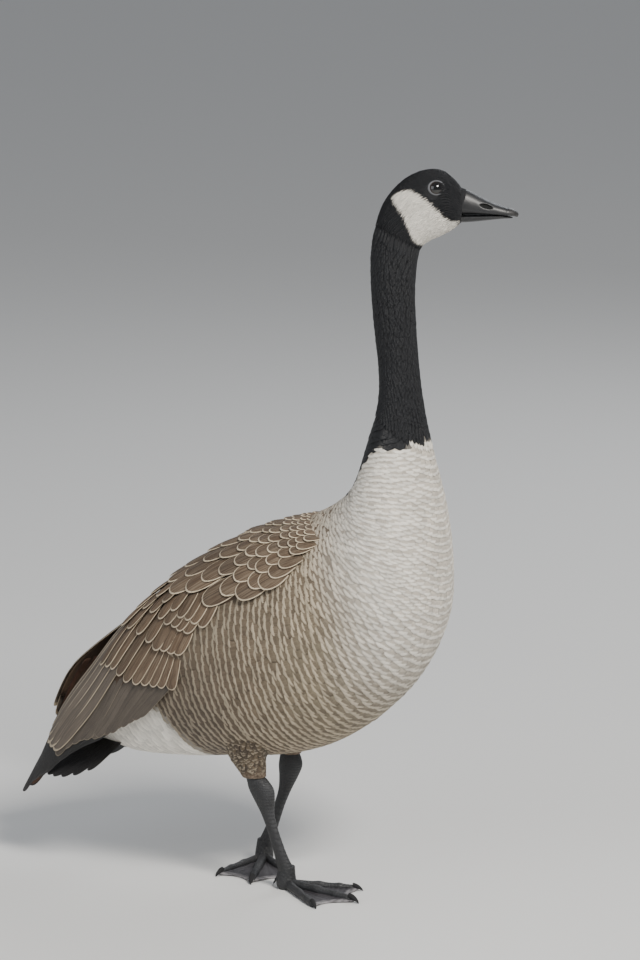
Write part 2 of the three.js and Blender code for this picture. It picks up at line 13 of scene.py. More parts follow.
import bpy
import numpy as np
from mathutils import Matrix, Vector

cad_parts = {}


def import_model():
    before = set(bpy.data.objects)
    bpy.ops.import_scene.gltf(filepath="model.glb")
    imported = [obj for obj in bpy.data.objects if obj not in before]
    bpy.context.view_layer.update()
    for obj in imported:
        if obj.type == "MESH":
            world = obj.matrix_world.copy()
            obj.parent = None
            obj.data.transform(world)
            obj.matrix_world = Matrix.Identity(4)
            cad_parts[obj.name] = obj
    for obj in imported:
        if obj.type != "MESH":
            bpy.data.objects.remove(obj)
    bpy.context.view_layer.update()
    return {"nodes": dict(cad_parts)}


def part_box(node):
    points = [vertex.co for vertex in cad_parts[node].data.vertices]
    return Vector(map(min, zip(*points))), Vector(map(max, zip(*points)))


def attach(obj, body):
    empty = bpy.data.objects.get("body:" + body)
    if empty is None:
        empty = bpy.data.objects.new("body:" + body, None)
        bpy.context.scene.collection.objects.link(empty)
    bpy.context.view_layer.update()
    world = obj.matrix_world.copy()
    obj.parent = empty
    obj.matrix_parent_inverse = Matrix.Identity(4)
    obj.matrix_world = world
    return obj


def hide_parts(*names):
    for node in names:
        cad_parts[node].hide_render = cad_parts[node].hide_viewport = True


log = logging.getLogger("goose")

PairMap = Callable[[np.ndarray, np.ndarray], np.ndarray]

MM = 0.001
BODY_NAME = "root"
HEAD_TURN = math.radians(20)
TURN_AXIS_X = 100.0
TURN_FROM_Z = 500.0
TURN_HEIGHT = 150.0
EYE_X, EYE_Y, EYE_Z, EYE_R = 139.0, 9.6, 711.5, 8.6
TIP_POWER = 2.5
FULL_TURN = 6.283
LEFT_WING_LIFT = 19.0

# Oval sections from rump to bill: back x, z; belly x, z; half width; level of the widest point; squareness
SECTIONS = np.array([
    (-243, 126, -237, 114, 10, 0.5, 2.0), (-230, 170, -214, 133, 26, 0.5, 2.0),
    (-196, 222, -170, 124, 48, 0.52, 2.05), (-152, 290, -115, 125, 76, 0.52, 2.1),
    (-100, 327, -58, 131, 95, 0.5, 2.15), (-47, 354, -5, 137, 102, 0.48, 2.2),
    (5, 376, 43, 152, 101, 0.47, 2.15), (38, 393, 89, 183, 92, 0.46, 2.1),
    (56, 409, 128, 226, 85, 0.46, 2.06), (66, 427, 152, 280, 77, 0.46, 2.08),
    (72, 449, 156, 338, 64, 0.47, 2.0), (77, 469, 151, 391, 48, 0.48, 2.0),
    (82, 487, 141, 438, 34, 0.5, 2.0), (85, 508, 132, 478, 24.5, 0.5, 2.0),
    (84, 535, 125, 522, 20, 0.5, 2.0), (80, 570, 121, 566, 19.5, 0.5, 2.0),
    (77, 605, 119, 606, 19.5, 0.5, 2.0), (76, 640, 121, 638, 19.6, 0.5, 2.0),
    (79, 668, 125, 652, 19.6, 0.5, 2.0), (88, 696, 133, 659, 19, 0.5, 2.0),
    (105, 717, 144, 664, 18.5, 0.52, 2.1), (125, 728, 152, 668, 18, 0.55, 2.1),
    (144, 729, 158, 672, 17, 0.55, 2.1), (157, 720, 162, 675, 14.2, 0.5, 2.1),
    (165, 711, 165, 677.5, 11.6, 0.42, 2.1)], float)
LAST = len(SECTIONS) - 1

# White cheek patch in the head's side view, x and z, down to below the chin
CHEEK = np.array([
    (96, 704), (103, 709), (113.5, 711.5), (121, 707.5), (134, 697), (147, 685.5), (154, 680.5),
    (161, 680), (163, 672), (146, 660), (131, 655), (122, 658), (116.5, 663), (113, 671), (105.5, 687),
    (98, 697)], float)
NECK_EDGE = 463.0
# Lower line of the folded wing over the flank, x and z
WING_LINE = np.array([
    (-235, 150), (-190, 165), (-150, 190), (-108, 225), (-95, 250), (-60, 275), (-20, 305), (20, 345),
    (45, 372)], float)

# Folded right wing: top line x, y, z and lower line x, y, z from shoulder to tip
WING = np.array([
    (42, -2, 383, 42, -92, 318), (-6, -2, 373, 12, -98, 289), (-50, -2, 358, -28, -100, 260),
    (-94, -2, 334, -68, -97, 233), (-139, -2, 302, -108, -89, 206), (-183, -3, 262, -152, -78, 175),
    (-219, -4, 214, -192, -63, 151), (-253, -6, 165, -236, -44, 128), (-303, -10, 74, -298, -16, 68)], float)


class Side(Enum):
    """The two sides of the bird, by the sign of Y."""

    RIGHT = -1
    LEFT = 1

    @property
    def word(self) -> str:
        """Name ending of the side's nodes."""
        return self.name.lower()


def smooth(low: float, high: float, x: np.ndarray) -> np.ndarray:
    """Smooth step from 0 at low to 1 at high: 3u^2 - 2u^3 of the clipped share u."""
    u = np.clip((x - low) / (high - low), 0.0, 1.0)
    return u * u * (3.0 - 2.0 * u)


def spline(table: np.ndarray, t: np.ndarray) -> np.ndarray:
    """Uniform Catmull-Rom curve through a table's rows, carried on straight past its ends.

    Args:
        table: rows of values.
        t: places from 0 to 1, any shape.

    Returns:
        Values, of t's shape with the row length added.
    """
    table = np.asarray(table, float)
    last = len(table) - 1
    inside = np.clip(t, 0.0, 1.0)
    at = np.minimum(last - 1, np.floor(inside * last)).astype(int)
    u = (inside * last - at)[..., None]
    padded = np.concatenate([2 * table[:1] - table[1:2], table, 2 * table[-1:] - table[-2:-1]])
    a, b, c, d = (padded[at + k] for k in range(4))
    square, cube = 2 * a - 5 * b + 4 * c - d, 3 * b - 3 * c + d - a
    value = 0.5 * (2 * b + (c - a) * u + square * u ** 2 + cube * u ** 3)
    return value + ((t - inside) * last)[..., None] * (c - b)


def spread_along(line: tuple, count: int) -> np.ndarray:
    """Places at even steps along a line of pairs.

    Args:
        line: pairs that the line goes through, at even steps themselves.
        count: how many places.

    Returns:
        Pairs (count, 2).
    """
    pairs = np.array(line, float)
    u, at = np.linspace(0, 1, count), np.linspace(0, 1, len(pairs))
    return np.stack([np.interp(u, at, pairs[:, k]) for k in (0, 1)], -1)


def turned(p: np.ndarray) -> np.ndarray:
    """Turns points about the neck's vertical axis by an angle that grows with height."""
    angle = HEAD_TURN * np.clip((p[..., 2] - TURN_FROM_Z) / TURN_HEIGHT, 0.0, 1.0)
    x, y = p[..., 0] - TURN_AXIS_X, p[..., 1]
    c, s = np.cos(angle), np.sin(angle)
    return np.stack([TURN_AXIS_X + x * c - y * s, x * s + y * c, p[..., 2]], -1)


def mix(a: np.ndarray, b: np.ndarray, share: np.ndarray) -> np.ndarray:
    """Blend from a to b by a share."""
    return a + (b - a) * share


def outline_distance(q: np.ndarray, outline: np.ndarray) -> np.ndarray:
    """Signed distance of plane points to a closed outline, above 0 inside.

    The distance is the least one to any side, and a point is inside when a ray from it crosses the
    outline an odd number of times.

    Args:
        q: points (..., 2).
        outline: corners (n, 2) in order.

    Returns:
        Distances, of q's shape without its last axis.
    """
    nearest = np.full(q.shape[:-1], 1e9)
    inside = np.zeros(q.shape[:-1], bool)
    for a, b in zip(outline, np.roll(outline, -1, axis=0)):
        along = np.clip(((q - a) @ (b - a)) / max((b - a) @ (b - a), 1e-9), 0, 1)
        nearest = np.minimum(nearest, np.linalg.norm(q - a - along[..., None] * (b - a), axis=-1))
        rise = b[1] - a[1] if abs(b[1] - a[1]) > 1e-9 else 1e-9
        crosses = (a[1] > q[..., 1]) != (b[1] > q[..., 1])
        inside ^= crosses & (q[..., 0] < a[0] + (q[..., 1] - a[1]) * (b[0] - a[0]) / rise)
    return np.where(inside, nearest, -nearest)


def unit(v: np.ndarray) -> np.ndarray:
    """Vectors scaled to length 1."""
    return v / np.maximum(np.linalg.norm(v, axis=-1, keepdims=True), 1e-9)


def body_point(s: np.ndarray, a: np.ndarray, table: np.ndarray = SECTIONS, turn: bool = True) -> np.ndarray:
    """Point of a surface through oval sections, by default the body's.

    The section at s is an oval: the back half reaches to the back point and the other half to the belly
    point, and its sides to the half width, each by a power of cosine or sine set by the squareness.

    Args:
        s: place from rump (0) to bill (1).
        a: share of the way round, 0 at the back, 0.25 on the left, 0.5 at the belly, 0.75 on the right.
        table: oval sections.
        turn: whether the head's turn is applied.

    Returns:
        Points in millimetres.
    """
    row = spline(table, s)
    bx, bz, vx, vz, half, level, square = np.moveaxis(row, -1, 0)
    cx, cz = vx + (bx - vx) * level, vz + (bz - vz) * level
    c, q = np.cos(2 * np.pi * a), np.sin(2 * np.pi * a)
    up = np.sign(c) * np.abs(c) ** (2 / square)
    out = np.sign(q) * np.abs(q) ** (2 / square)
    ex = np.where(up >= 0, bx - cx, cx - vx)
    ez = np.where(up >= 0, bz - cz, cz - vz)
    point = np.stack([cx + ex * up, half * out, cz + ez * up], -1)
    return turned(point) if turn else point


def wing_point(s: np.ndarray, v: np.ndarray, side: Side) -> np.ndarray:
    """Point of a folded wing: a quarter ellipse from the top line out and down to the lower line.

    The left wing's tip lies a little higher and further back than the right one's.

    Args:
        s: place from shoulder (0) to tip (1).
        v: place from the top line (0) to the lower line (1).
        side: the wing's side.

    Returns:
        Points in millimetres.
    """
    row = spline(WING, s)
    down, out = 1 - np.cos(np.pi * v / 2), np.sin(np.pi * v / 2)
    x = row[..., 0] + (row[..., 3] - row[..., 0]) * down
    y = row[..., 1] + (row[..., 4] - row[..., 1]) * out
    z = row[..., 2] + (row[..., 5] - row[..., 2]) * down
    if side is Side.LEFT:
        rise = np.sin(np.pi * np.clip((s - 0.58) / 0.48, 0, 1)) ** 2
        lift = LEFT_WING_LIFT * rise * (1 - np.clip(v, 0, 1))
        x, z = x - 0.8 * lift, z + 0.65 * lift
    return np.stack([x, -side.value * y, z], -1)


class Surface:
    """A smooth surface kept as a dense grid over two parameters, sampled by bilinear interpolation."""

    def __init__(self, point: PairMap, low: tuple[float, float], high: tuple[float, float],
                 size: tuple[int, int], outward: int = 1) -> None:
        """Evaluates the surface on its grid.

        Args:
            point: points from two parameters.
            low: least parameters.
            high: largest parameters.
            size: grid points along each parameter.
            outward: 1 if first x second direction points outward, or -1.
        """
        self.low, self.high, self.size = np.array(low, float), np.array(high, float), np.array(size)
        first, second = np.meshgrid(*(np.linspace(low[k], high[k], size[k]) for k in (0, 1)), indexing="ij")
        self.grid = point(first, second)
        along = np.gradient(self.grid, axis=0)
        across = np.gradient(self.grid, axis=1)
        self.normals = outward * unit(np.cross(along, across))
        step = (self.high - self.low) / (self.size - 1)
        self.along, self.across = along / step[0], across / step[1]

    def _sample(self, values: np.ndarray, at: np.ndarray) -> np.ndarray:
        """Bilinear interpolation of a grid of vectors at parameter pairs."""
        f = np.clip((at - self.low) / (self.high - self.low), 0, 1) * (self.size - 1)
        i = np.minimum(f.astype(int), self.size - 2)
        u = f - i
        a, b = i[..., 0], i[..., 1]
        p, q = u[..., :1], u[..., 1:]
        return ((1 - p) * (1 - q) * values[a, b] + p * (1 - q) * values[a + 1, b]
                + (1 - p) * q * values[a, b + 1] + p * q * values[a + 1, b + 1])

    def point(self, at: np.ndarray) -> np.ndarray:
        """Points at parameter pairs."""
        return self._sample(self.grid, at)

    def normal(self, at: np.ndarray) -> np.ndarray:
        """Outward unit normals at parameter pairs."""
        return unit(self._sample(self.normals, at))

    def tangents(self, at: np.ndarray) -> tuple[np.ndarray, np.ndarray]:
        """Derivatives along the first and the second parameter."""
        return self._sample(self.along, at), self._sample(self.across, at)


@dataclass
class Tract:
    """Feathers of one kind, laid from roots to tips on a surface.

    root and tip are parameter pairs (n, 2); half is the half width (n,); lift is the height of root and
    tip over the surface (n, 2); tone and rim are colours (n, 3); band is the width of the pale rim (n,);
    bar is the strength of the dark bar before it (n,). style 1 makes the rim a straight stripe and leaves
    the shaft out. The vane is narrow times its width at the root, rounded off from round_from on, crowned
    and rolled across by shares of its width, and has along x across points on each face.
    """

    root: np.ndarray
    tip: np.ndarray
    half: np.ndarray
    lift: np.ndarray
    tone: np.ndarray
    rim: np.ndarray
    band: np.ndarray
    bar: np.ndarray
    style: float = 0.0
    round_from: float = 0.55
    narrow: float = 0.6
    crown: float = 0.12
    roll: float = 0.0
    thick: float = 0.35
    across: int = 5
    along: int = 7

    def profile(self) -> tuple[np.ndarray, np.ndarray, np.ndarray, np.ndarray]:
        """Outline of a vane, which widens from the root and closes in a rounded tip.

        Returns:
            Places along the vane, how far each is into the tip, the tip's rounding and the width there, the
            last two as shares.
        """
        body = np.linspace(0, self.round_from, self.along - self.along // 2, endpoint=False)
        ease = 1 - np.sin(np.pi / 2 * np.linspace(0, 1, self.along // 2))
        t = np.concatenate([body, 1 - (1 - self.round_from) * ease])
        closing = (t - self.round_from) / (1 - self.round_from)
        round_tip = np.maximum(1 - np.clip(closing, 0, 1) ** TIP_POWER, 0.0) ** (1 / TIP_POWER)
        widening = self.narrow + (1 - self.narrow) * np.sin(np.pi / 2 * np.minimum(1, t / 0.5))
        return t, closing, round_tip, widening * np.maximum(round_tip, 0.06)


def sheet_faces(nv: int, nu: int) -> np.ndarray:
    """Quads of a thin closed sheet: its top, its underside turned round and the rim between them.

    Args:
        nv: points along the sheet.
        nu: points across it.

    Returns:
        Corner numbers (n, 4), into the top's nv x nu points followed by the underside's.
    """
    grid = np.arange(nv * nu).reshape(nv, nu)
    a, b, c, d = grid[:-1, :-1], grid[:-1, 1:], grid[1:, 1:], grid[1:, :-1]
    top = np.stack([a, b, c, d], -1).reshape(-1, 4)
    edge = np.concatenate([grid[0, :-1], grid[:-1, -1], grid[-1, :0:-1], grid[:0:-1, 0]])
    nxt = np.roll(edge, -1)
    rim = np.stack([edge, edge + nv * nu, nxt + nv * nu, nxt], -1)
    return np.concatenate([top, top[:, ::-1] + nv * nu, rim])


@dataclass
class Plumage:
    """Vertices, faces and attributes of many vanes, joined into one mesh."""

    points: list = field(default_factory=list)
    faces: list = field(default_factory=list)
    vane: list = field(default_factory=list)
    tone: list = field(default_factory=list)
    rim: list = field(default_factory=list)
    traits: list = field(default_factory=list)
    bake: list = field(default_factory=list)
    count: int = 0

    def add(self, surface: Surface, tract: Tract, patch: PairMap, rng: np.random.Generator) -> None:
        """Lays a tract's feathers on a surface.

        A vane's middle line goes straight from root to tip in the surface's parameters. Its columns stand
        to both sides by the half width times the profile, a distance that the surface's metric turns into
        parameters. Its height goes from the root's lift to the tip's, and it is crowned across. The
        underside is the same sheet moved in by the thickness, and a rim of quads closes it.

        Args:
            surface: what the feathers lie on.
            tract: the feathers.
            patch: place on the bake map from roots (n, 2) and the vane's own (v, u).
            rng: seeded random numbers.
        """
        n, nv, nu = len(tract.root), tract.along, tract.across
        if not n:
            return
        t, closing, round_tip, outline = tract.profile()
        u = np.sin(np.pi / 2 * np.linspace(-1, 1, nu) * 0.9) / math.sin(math.pi / 2 * 0.9)
        step = tract.tip - tract.root
        line = tract.root[:, None] + step[:, None] * t[None, :, None]
        ps, pv = surface.tangents(line)
        ahead = unit(ps * step[:, None, :1] + pv * step[:, None, 1:])
        up = surface.normal(line)
        beside = unit(np.cross(up, ahead))
        g11, g12, g22 = (ps * ps).sum(-1), (ps * pv).sum(-1), (pv * pv).sum(-1)
        b1, b2 = (ps * beside).sum(-1), (pv * beside).sum(-1)
        det = np.maximum(g11 * g22 - g12 ** 2, 1e-6)
        shift = np.stack([(g22 * b1 - g12 * b2) / det, (g11 * b2 - g12 * b1) / det], -1)
        width = tract.half[:, None] * outline[None]
        at = line[:, :, None] + shift[:, :, None] * (width[..., None] * u)[..., None]
        lift = tract.lift[:, :1] + (tract.lift[:, 1:] - tract.lift[:, :1]) * t[None]
        height = lift[..., None] + width[..., None] * (tract.crown * (1 - u ** 2) + tract.roll * u)
        top = surface.point(at) + up[:, :, None] * height[..., None]
        low = top - up[:, :, None] * tract.thick * (1 - 0.55 * np.abs(u))[None, None, :, None]
        block = np.concatenate([top.reshape(n, -1, 3), low.reshape(n, -1, 3)], 1)
        cell = sheet_faces(nv, nu)
        per = 2 * nv * nu
        self.faces.append((cell[None] + (self.count + per * np.arange(n))[:, None, None]).reshape(-1, 4))
        self.points.append(block.reshape(-1, 3))
        own = np.stack(np.meshgrid(t, (u + 1) / 2, indexing="ij"), -1)[..., ::-1].reshape(-1, 2)
        self.bake.append(patch(tract.root, np.concatenate([own, own])).reshape(-1, 2))
        true = np.stack([u[None] * round_tip[:, None], np.broadcast_to(closing[:, None], (nv, nu))], -1)
        self.vane.append(np.tile(true.reshape(-1, 2), (2 * n, 1)))
        for store, value in ((self.tone, tract.tone), (self.rim, tract.rim)):
            store.append(np.repeat(value, per, axis=0))
        traits = np.stack([tract.band, tract.bar, rng.random(n), np.full(n, tract.style)], -1)
        self.traits.append(np.repeat(traits, per, axis=0))
        self.count += n * per

    def build(self, name: str, shift: np.ndarray, material: bpy.types.Material) -> bpy.types.Object:
        """Makes the mesh object with its attributes and maps.

        Args:
            name: object name.
            shift: move to the solids' frame, in millimetres.
            material: finish.

        Returns:
            The new object.
        """
        points, faces = np.concatenate(self.points), np.concatenate(self.faces)
        obj = make_mesh(name, points, faces, shift, material)
        mesh = obj.data
        loops = faces.reshape(-1)
        add_map(mesh, "OFBake", np.concatenate(self.bake)[loops])
        add_map(mesh, "Vane", np.concatenate(self.vane)[loops])
        add_colour(mesh, "tone", np.concatenate(self.tone))
        add_colour(mesh, "rim", np.concatenate(self.rim))
        add_colour(mesh, "traits", np.concatenate(self.traits))
        return obj


def make_mesh(name: str, points: np.ndarray, faces: np.ndarray, shift: np.ndarray,
              material: bpy.types.Material) -> bpy.types.Object:
    """Makes a smooth mesh object from points in millimetres of the bird's own frame and faces of equal size.

    Args:
        name: object name.
        points: (n, 3) in millimetres.
        faces: (m, 3) or (m, 4) corner numbers.
        shift: move to the solids' frame, in millimetres.
        material: finish.

    Returns:
        The new object, riding on the body.
    """
    mesh = bpy.data.meshes.new(name)
    points = (points + shift) * MM
    size = faces.shape[1]
    mesh.vertices.add(len(points))
    mesh.vertices.foreach_set("co", points.astype(np.float32).ravel())
    mesh.loops.add(faces.size)
    mesh.loops.foreach_set("vertex_index", faces.astype(np.int32).ravel())
    mesh.polygons.add(len(faces))
    mesh.polygons.foreach_set("loop_start", np.arange(0, faces.size, size, dtype=np.int32))
    mesh.polygons.foreach_set("use_smooth", np.ones(len(faces), bool))
    mesh.update(calc_edges=True)
    mesh.validate()
    mesh.materials.append(material)
    obj = bpy.data.objects.new(name, mesh)
    bpy.context.scene.collection.objects.link(obj)
    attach(obj, BODY_NAME)
    log.info("%s: %d faces", name, len(faces))
    return obj


def closed_loft(name: str, grid: np.ndarray, shift: np.ndarray, material: bpy.types.Material,
                tone: Optional[np.ndarray] = None) -> bpy.types.Object:
    """Makes a closed tube from rings of points, each end closed round its middle.

    Args:
        name: object name.
        grid: rings (rings, columns, 3), running so that ring direction x column direction points outward.
        shift: move to the solids' frame, in millimetres.
        material: finish.
        tone: colour of each point (rings, columns, 3), or None.

    Returns:
        The new object, with its unwrap (along, round) as the bake map.
    """
    rings, columns = grid.shape[:2]
    count = rings * columns
    index = np.arange(count).reshape(rings, columns)
    nxt = np.roll(index, -1, axis=1)
    quads = np.stack([index[:-1], index[1:], nxt[1:], nxt[:-1]], -1).reshape(-1, 4)
    first = np.stack([index[0], nxt[0], np.full(columns, count)], -1)
    last = np.stack([nxt[-1], index[-1], np.full(columns, count + 1)], -1)
    points = np.concatenate([grid.reshape(-1, 3), [grid[0].mean(0), grid[-1].mean(0)]])
    triangles = np.concatenate([quads[:, [0, 1, 2]], quads[:, [0, 2, 3]], first, last])
    obj = make_mesh(name, points, triangles, shift, material)
    s, a = np.meshgrid(np.linspace(0, 1, rings), np.arange(columns) / columns, indexing="ij")
    uv = np.concatenate([np.stack([s, a], -1).reshape(-1, 2), [[0, 0.5], [1, 0.5]]])[triangles.reshape(-1)]
    corner = uv.reshape(-1, 3, 2)
    wraps = corner[..., 1].max(1) - corner[..., 1].min(1) > 0.5
    corner[..., 1] += (corner[..., 1] < 0.5) * wraps[:, None]
    add_map(obj.data, "OFBake", 0.01 + 0.97 * corner.reshape(-1, 2) * (1.0, 0.99))
    if tone is not None:
        ends = [tone[0].mean(0), tone[-1].mean(0)]
        add_colour(obj.data, "tone", np.concatenate([tone.reshape(-1, 3), ends]))
    return obj


def add_map(mesh: bpy.types.Mesh, name: str, uv: np.ndarray) -> None:
    """Adds a UV map from one pair per face corner."""
    layer = mesh.uv_layers.new(name=name)
    layer.data.foreach_set("uv", uv.astype(np.float32).ravel())


def add_colour(mesh: bpy.types.Mesh, name: str, rgb: np.ndarray) -> None:
    """Adds a colour attribute from one colour per vertex, of three or four numbers."""
    layer = mesh.attributes.new(name, "FLOAT_COLOR", "POINT")
    rgba = rgb if rgb.shape[1] == 4 else np.concatenate([rgb, np.ones((len(rgb), 1))], 1)
    layer.data.foreach_set("color", rgba.astype(np.float32).ravel())


class Value:
    """A socket in a shader graph with the arithmetic of Python expressions."""

    def __init__(self, graph: "Graph", socket: bpy.types.NodeSocket) -> None:
        """Keeps the graph and the output socket."""
        self.graph, self.socket = graph, socket

    def _maths(self, operation: str, *terms: object) -> "Value":
        """A Math node on this value and others."""
        return self.graph.node("ShaderNodeMath", {"operation": operation}, [self, *terms])

    def __add__(self, other: object) -> "Value":
        """Sum."""
        return self._maths("ADD", other)

    __radd__ = __add__

    def __sub__(self, other: object) -> "Value":
        """Difference."""
        return self._maths("SUBTRACT", other)

    def __rsub__(self, other: object) -> "Value":
        """Difference from a number."""
        return self.graph.node("ShaderNodeMath", {"operation": "SUBTRACT"}, [other, self])

    def __mul__(self, other: object) -> "Value":
        """Product."""
        return self._maths("MULTIPLY", other)

    __rmul__ = __mul__

    def __truediv__(self, other: object) -> "Value":
        """Quotient."""
        return self._maths("DIVIDE", other)

    def size(self) -> "Value":
        """Absolute value."""
        return self._maths("ABSOLUTE")

    def most(self, other: object) -> "Value":
        """Larger of two."""
        return self._maths("MAXIMUM", other)

    def power(self, other: object) -> "Value":
        """Power."""
        return self._maths("POWER", other)

    def wave(self) -> "Value":
        """Sine."""
        return self._maths("SINE")

    def step(self, low: object, high: object) -> "Value":
        """Smooth step between two values, clipped to 0 and 1."""
        return self.graph.node("ShaderNodeMapRange", {"interpolation_type": "SMOOTHSTEP"},
                               {"Value": self, "From Min": low, "From Max": high})


class Graph:
    """A material's shader graph."""

    def __init__(self, name: str) -> None:
        """Makes a material with an empty graph and a Principled shader."""
        self.material = bpy.data.materials.new(name)
        self.material.use_nodes = True
        self.tree = self.material.node_tree
        self.tree.nodes.clear()
        self.shader = self.tree.nodes.new("ShaderNodeBsdfPrincipled")
        output = self.tree.nodes.new("ShaderNodeOutputMaterial")
        self.tree.links.new(self.shader.outputs[0], output.inputs["Surface"])

    def node(self, kind: str, settings: Optional[dict] = None, sockets: object = None,
             output: object = 0) -> Value:
        """Adds one node.

        Args:
            kind: node type.
            settings: properties set before the sockets.
            sockets: values or links, by order or by name.
            output: output socket's name or number.

        Returns:
            The output as a value.
        """
        made = self.tree.nodes.new(kind)
        for key, value in (settings or {}).items():
            setattr(made, key, value)
        pairs = sockets.items() if isinstance(sockets, dict) else enumerate(sockets or [])
        for key, value in pairs:
            self.put(made.inputs[key], value)
        return Value(self, made.outputs[output])

    def put(self, socket: bpy.types.NodeSocket, value: object) -> None:
        """Links or sets a socket."""
        if isinstance(value, Value):
            self.tree.links.new(value.socket, socket)
        elif isinstance(value, (tuple, list)) and len(value) == 3 and socket.type == "RGBA":
            socket.default_value = (*value, 1.0)
        else:
            socket.default_value = value

    def blend(self, share: object, first: object, second: object, mode: str = "MIX") -> Value:
        """Mixes two colours.

        Args:
            share: share of the second.
            first: colour or value.
            second: colour or value.
            mode: blend type.

        Returns:
            The result.
        """
        made = self.tree.nodes.new("ShaderNodeMix")
        made.data_type = "RGBA"
        made.blend_type = mode
        self.put(made.inputs[0], share)
        self.put(made.inputs[6], first)
        self.put(made.inputs[7], second)
        return Value(self, made.outputs[2])

    def grey(self, value: Value) -> Value:
        """A grey of one value."""
        return self.node("ShaderNodeCombineXYZ", {}, [value, value, value])

    def attribute(self, name: str) -> Value:
        """Colour attribute."""
        return self.node("ShaderNodeAttribute", {"attribute_name": name}, output="Color")

    def parts(self, vector: Value) -> tuple[Value, Value, Value]:
        """The three numbers of a vector or colour."""
        made = self.tree.nodes.new("ShaderNodeSeparateXYZ")
        self.tree.links.new(vector.socket, made.inputs[0])
        return tuple(Value(self, made.outputs[k]) for k in range(3))

    def place(self) -> Value:
        """Object coordinates."""
        return self.node("ShaderNodeTexCoord", output="Object")

    def noise(self, scale: float, detail: float, stretch: Optional[tuple] = None) -> Value:
        """Noise on object coordinates, from 0 to 1.

        Args:
            scale: cells a metre.
            detail: octaves.
            stretch: factors on the coordinates, or None.

        Returns:
            The noise.
        """
        at = self.place()
        if stretch:
            at = self.node("ShaderNodeMapping", {}, {"Vector": at, "Scale": stretch})
        sockets = {"Vector": at, "Scale": scale, "Detail": detail, "Roughness": 0.55}
        return self.node("ShaderNodeTexNoise", {}, sockets, output="Fac")

    def bump(self, height: Value, strength: float, distance: float) -> None:
        """Feeds a height through a Bump node to the shader's normal."""
        sockets = {"Height": height, "Strength": strength, "Distance": distance}
        self.set("Normal", self.node("ShaderNodeBump", {}, sockets, output="Normal"))

    def set(self, socket: str, value: object) -> None:
        """Sets or links a socket of the shader."""
        self.put(self.shader.inputs[socket], value)


@dataclass(frozen=True)
class FeatherFinish:
    """Feather vanes: tone with barbs, a shaft, a pale rim and a bar, all read from the vane's own map."""

    name: str
    roughness: float = 0.62
    barbs: float = 46.0
    barb_depth: float = 0.16
    shaft: float = 0.35
    bar_tone: tuple = (0.085, 0.058, 0.040)
    barb_tone: tuple = (0.01, 0.009, 0.008)
    shaft_tone: tuple = (0.02, 0.015, 0.012)

    def make(self) -> bpy.types.Material:
        """Builds the material."""
        g = Graph(self.name)
        u, v, _ = g.parts(g.node("ShaderNodeUVMap", {"uv_map": "Vane"}))
        side = u.size()
        band, bar, chance = g.parts(g.attribute("traits"))
        striped = g.node("ShaderNodeAttribute", {"attribute_name": "traits"}, output="Alpha")
        streaks = g.node("ShaderNodeTexNoise", {}, {
            "Vector": g.node("ShaderNodeCombineXYZ", {}, [u * 13.0 + chance * 90.0, v * 0.9, chance * 31.0]),
            "Scale": 1.0, "Detail": 2.0}, output="Fac")
        wander = streaks - 0.5
        reach = (side.power(TIP_POWER) + v.most(0.0).power(TIP_POWER)).power(1 / TIP_POWER)
        rim = (reach + wander * 0.05).step(0.985 - band, 1.015 - band)
        across = v + side.power(2.0) * 0.07 + wander * 0.15
        stripe = across.step(0.94 - band, 1.06 - band)
        pale = rim + (stripe - rim) * striped
        barbs = ((v * self.barbs + side * (self.barbs * -0.42) + wander * 8.0) * FULL_TURN).wave()
        fine = g.noise(900.0, 2.0)
        mottle = g.noise(70.0, 4.0) * 0.5 + 0.75
        tone = g.blend(1.0, g.attribute("tone"), g.grey(mottle), "MULTIPLY")
        dark_bar = bar * across.step(0.46 - band, 0.66 - band) * (1.0 - stripe)
        tone = g.blend(dark_bar, tone, self.bar_tone)
        tone = g.blend((barbs * 0.5 + 0.5) * self.barb_depth, tone, self.barb_tone)
        tone = g.blend(streaks.step(0.35, 0.7) * 0.16, tone, g.attribute("rim"))
        line = (1.0 - side.step(0.025, 0.08)) * (1.0 - striped)
        tone = g.blend(line * self.shaft, tone, self.shaft_tone)
        final = g.blend(pale * (fine * 0.4 + 0.66), tone, g.attribute("rim"))
        shade = chance * 0.3 + 0.85
        final = g.blend(1.0, final, g.grey(shade), "MULTIPLY")
        g.set("Base Color", final)
        red, _, _ = g.parts(g.attribute("tone"))
        g.set("Roughness", fine * 0.2 + red.step(0.0, 0.15) * 0.24 + (self.roughness - 0.24))
        g.set("Specular IOR Level", 0.4)
        g.bump(barbs * 0.25 + line * 1.2 + fine * 0.4 + streaks * 0.8, 0.5, 0.0006)
        return g.material


@dataclass(frozen=True)
class SkinFinish:
    """The skin under the coat, in the coat's own markings, with short plumage as bump."""

    name: str
    roughness: float = 0.8

    def make(self) -> bpy.types.Material:
        """Builds the material."""
        g = Graph(self.name)
        fine = g.noise(420.0, 4.0, stretch=(1.0, 1.0, 0.5))
        shade = fine * 0.5 + 0.6
        g.set("Base Color", g.blend(1.0, g.attribute("tone"), g.grey(shade), "MULTIPLY"))
        g.set("Roughness", self.roughness)
        g.bump(fine, 0.6, 0.0015)
        return g.material


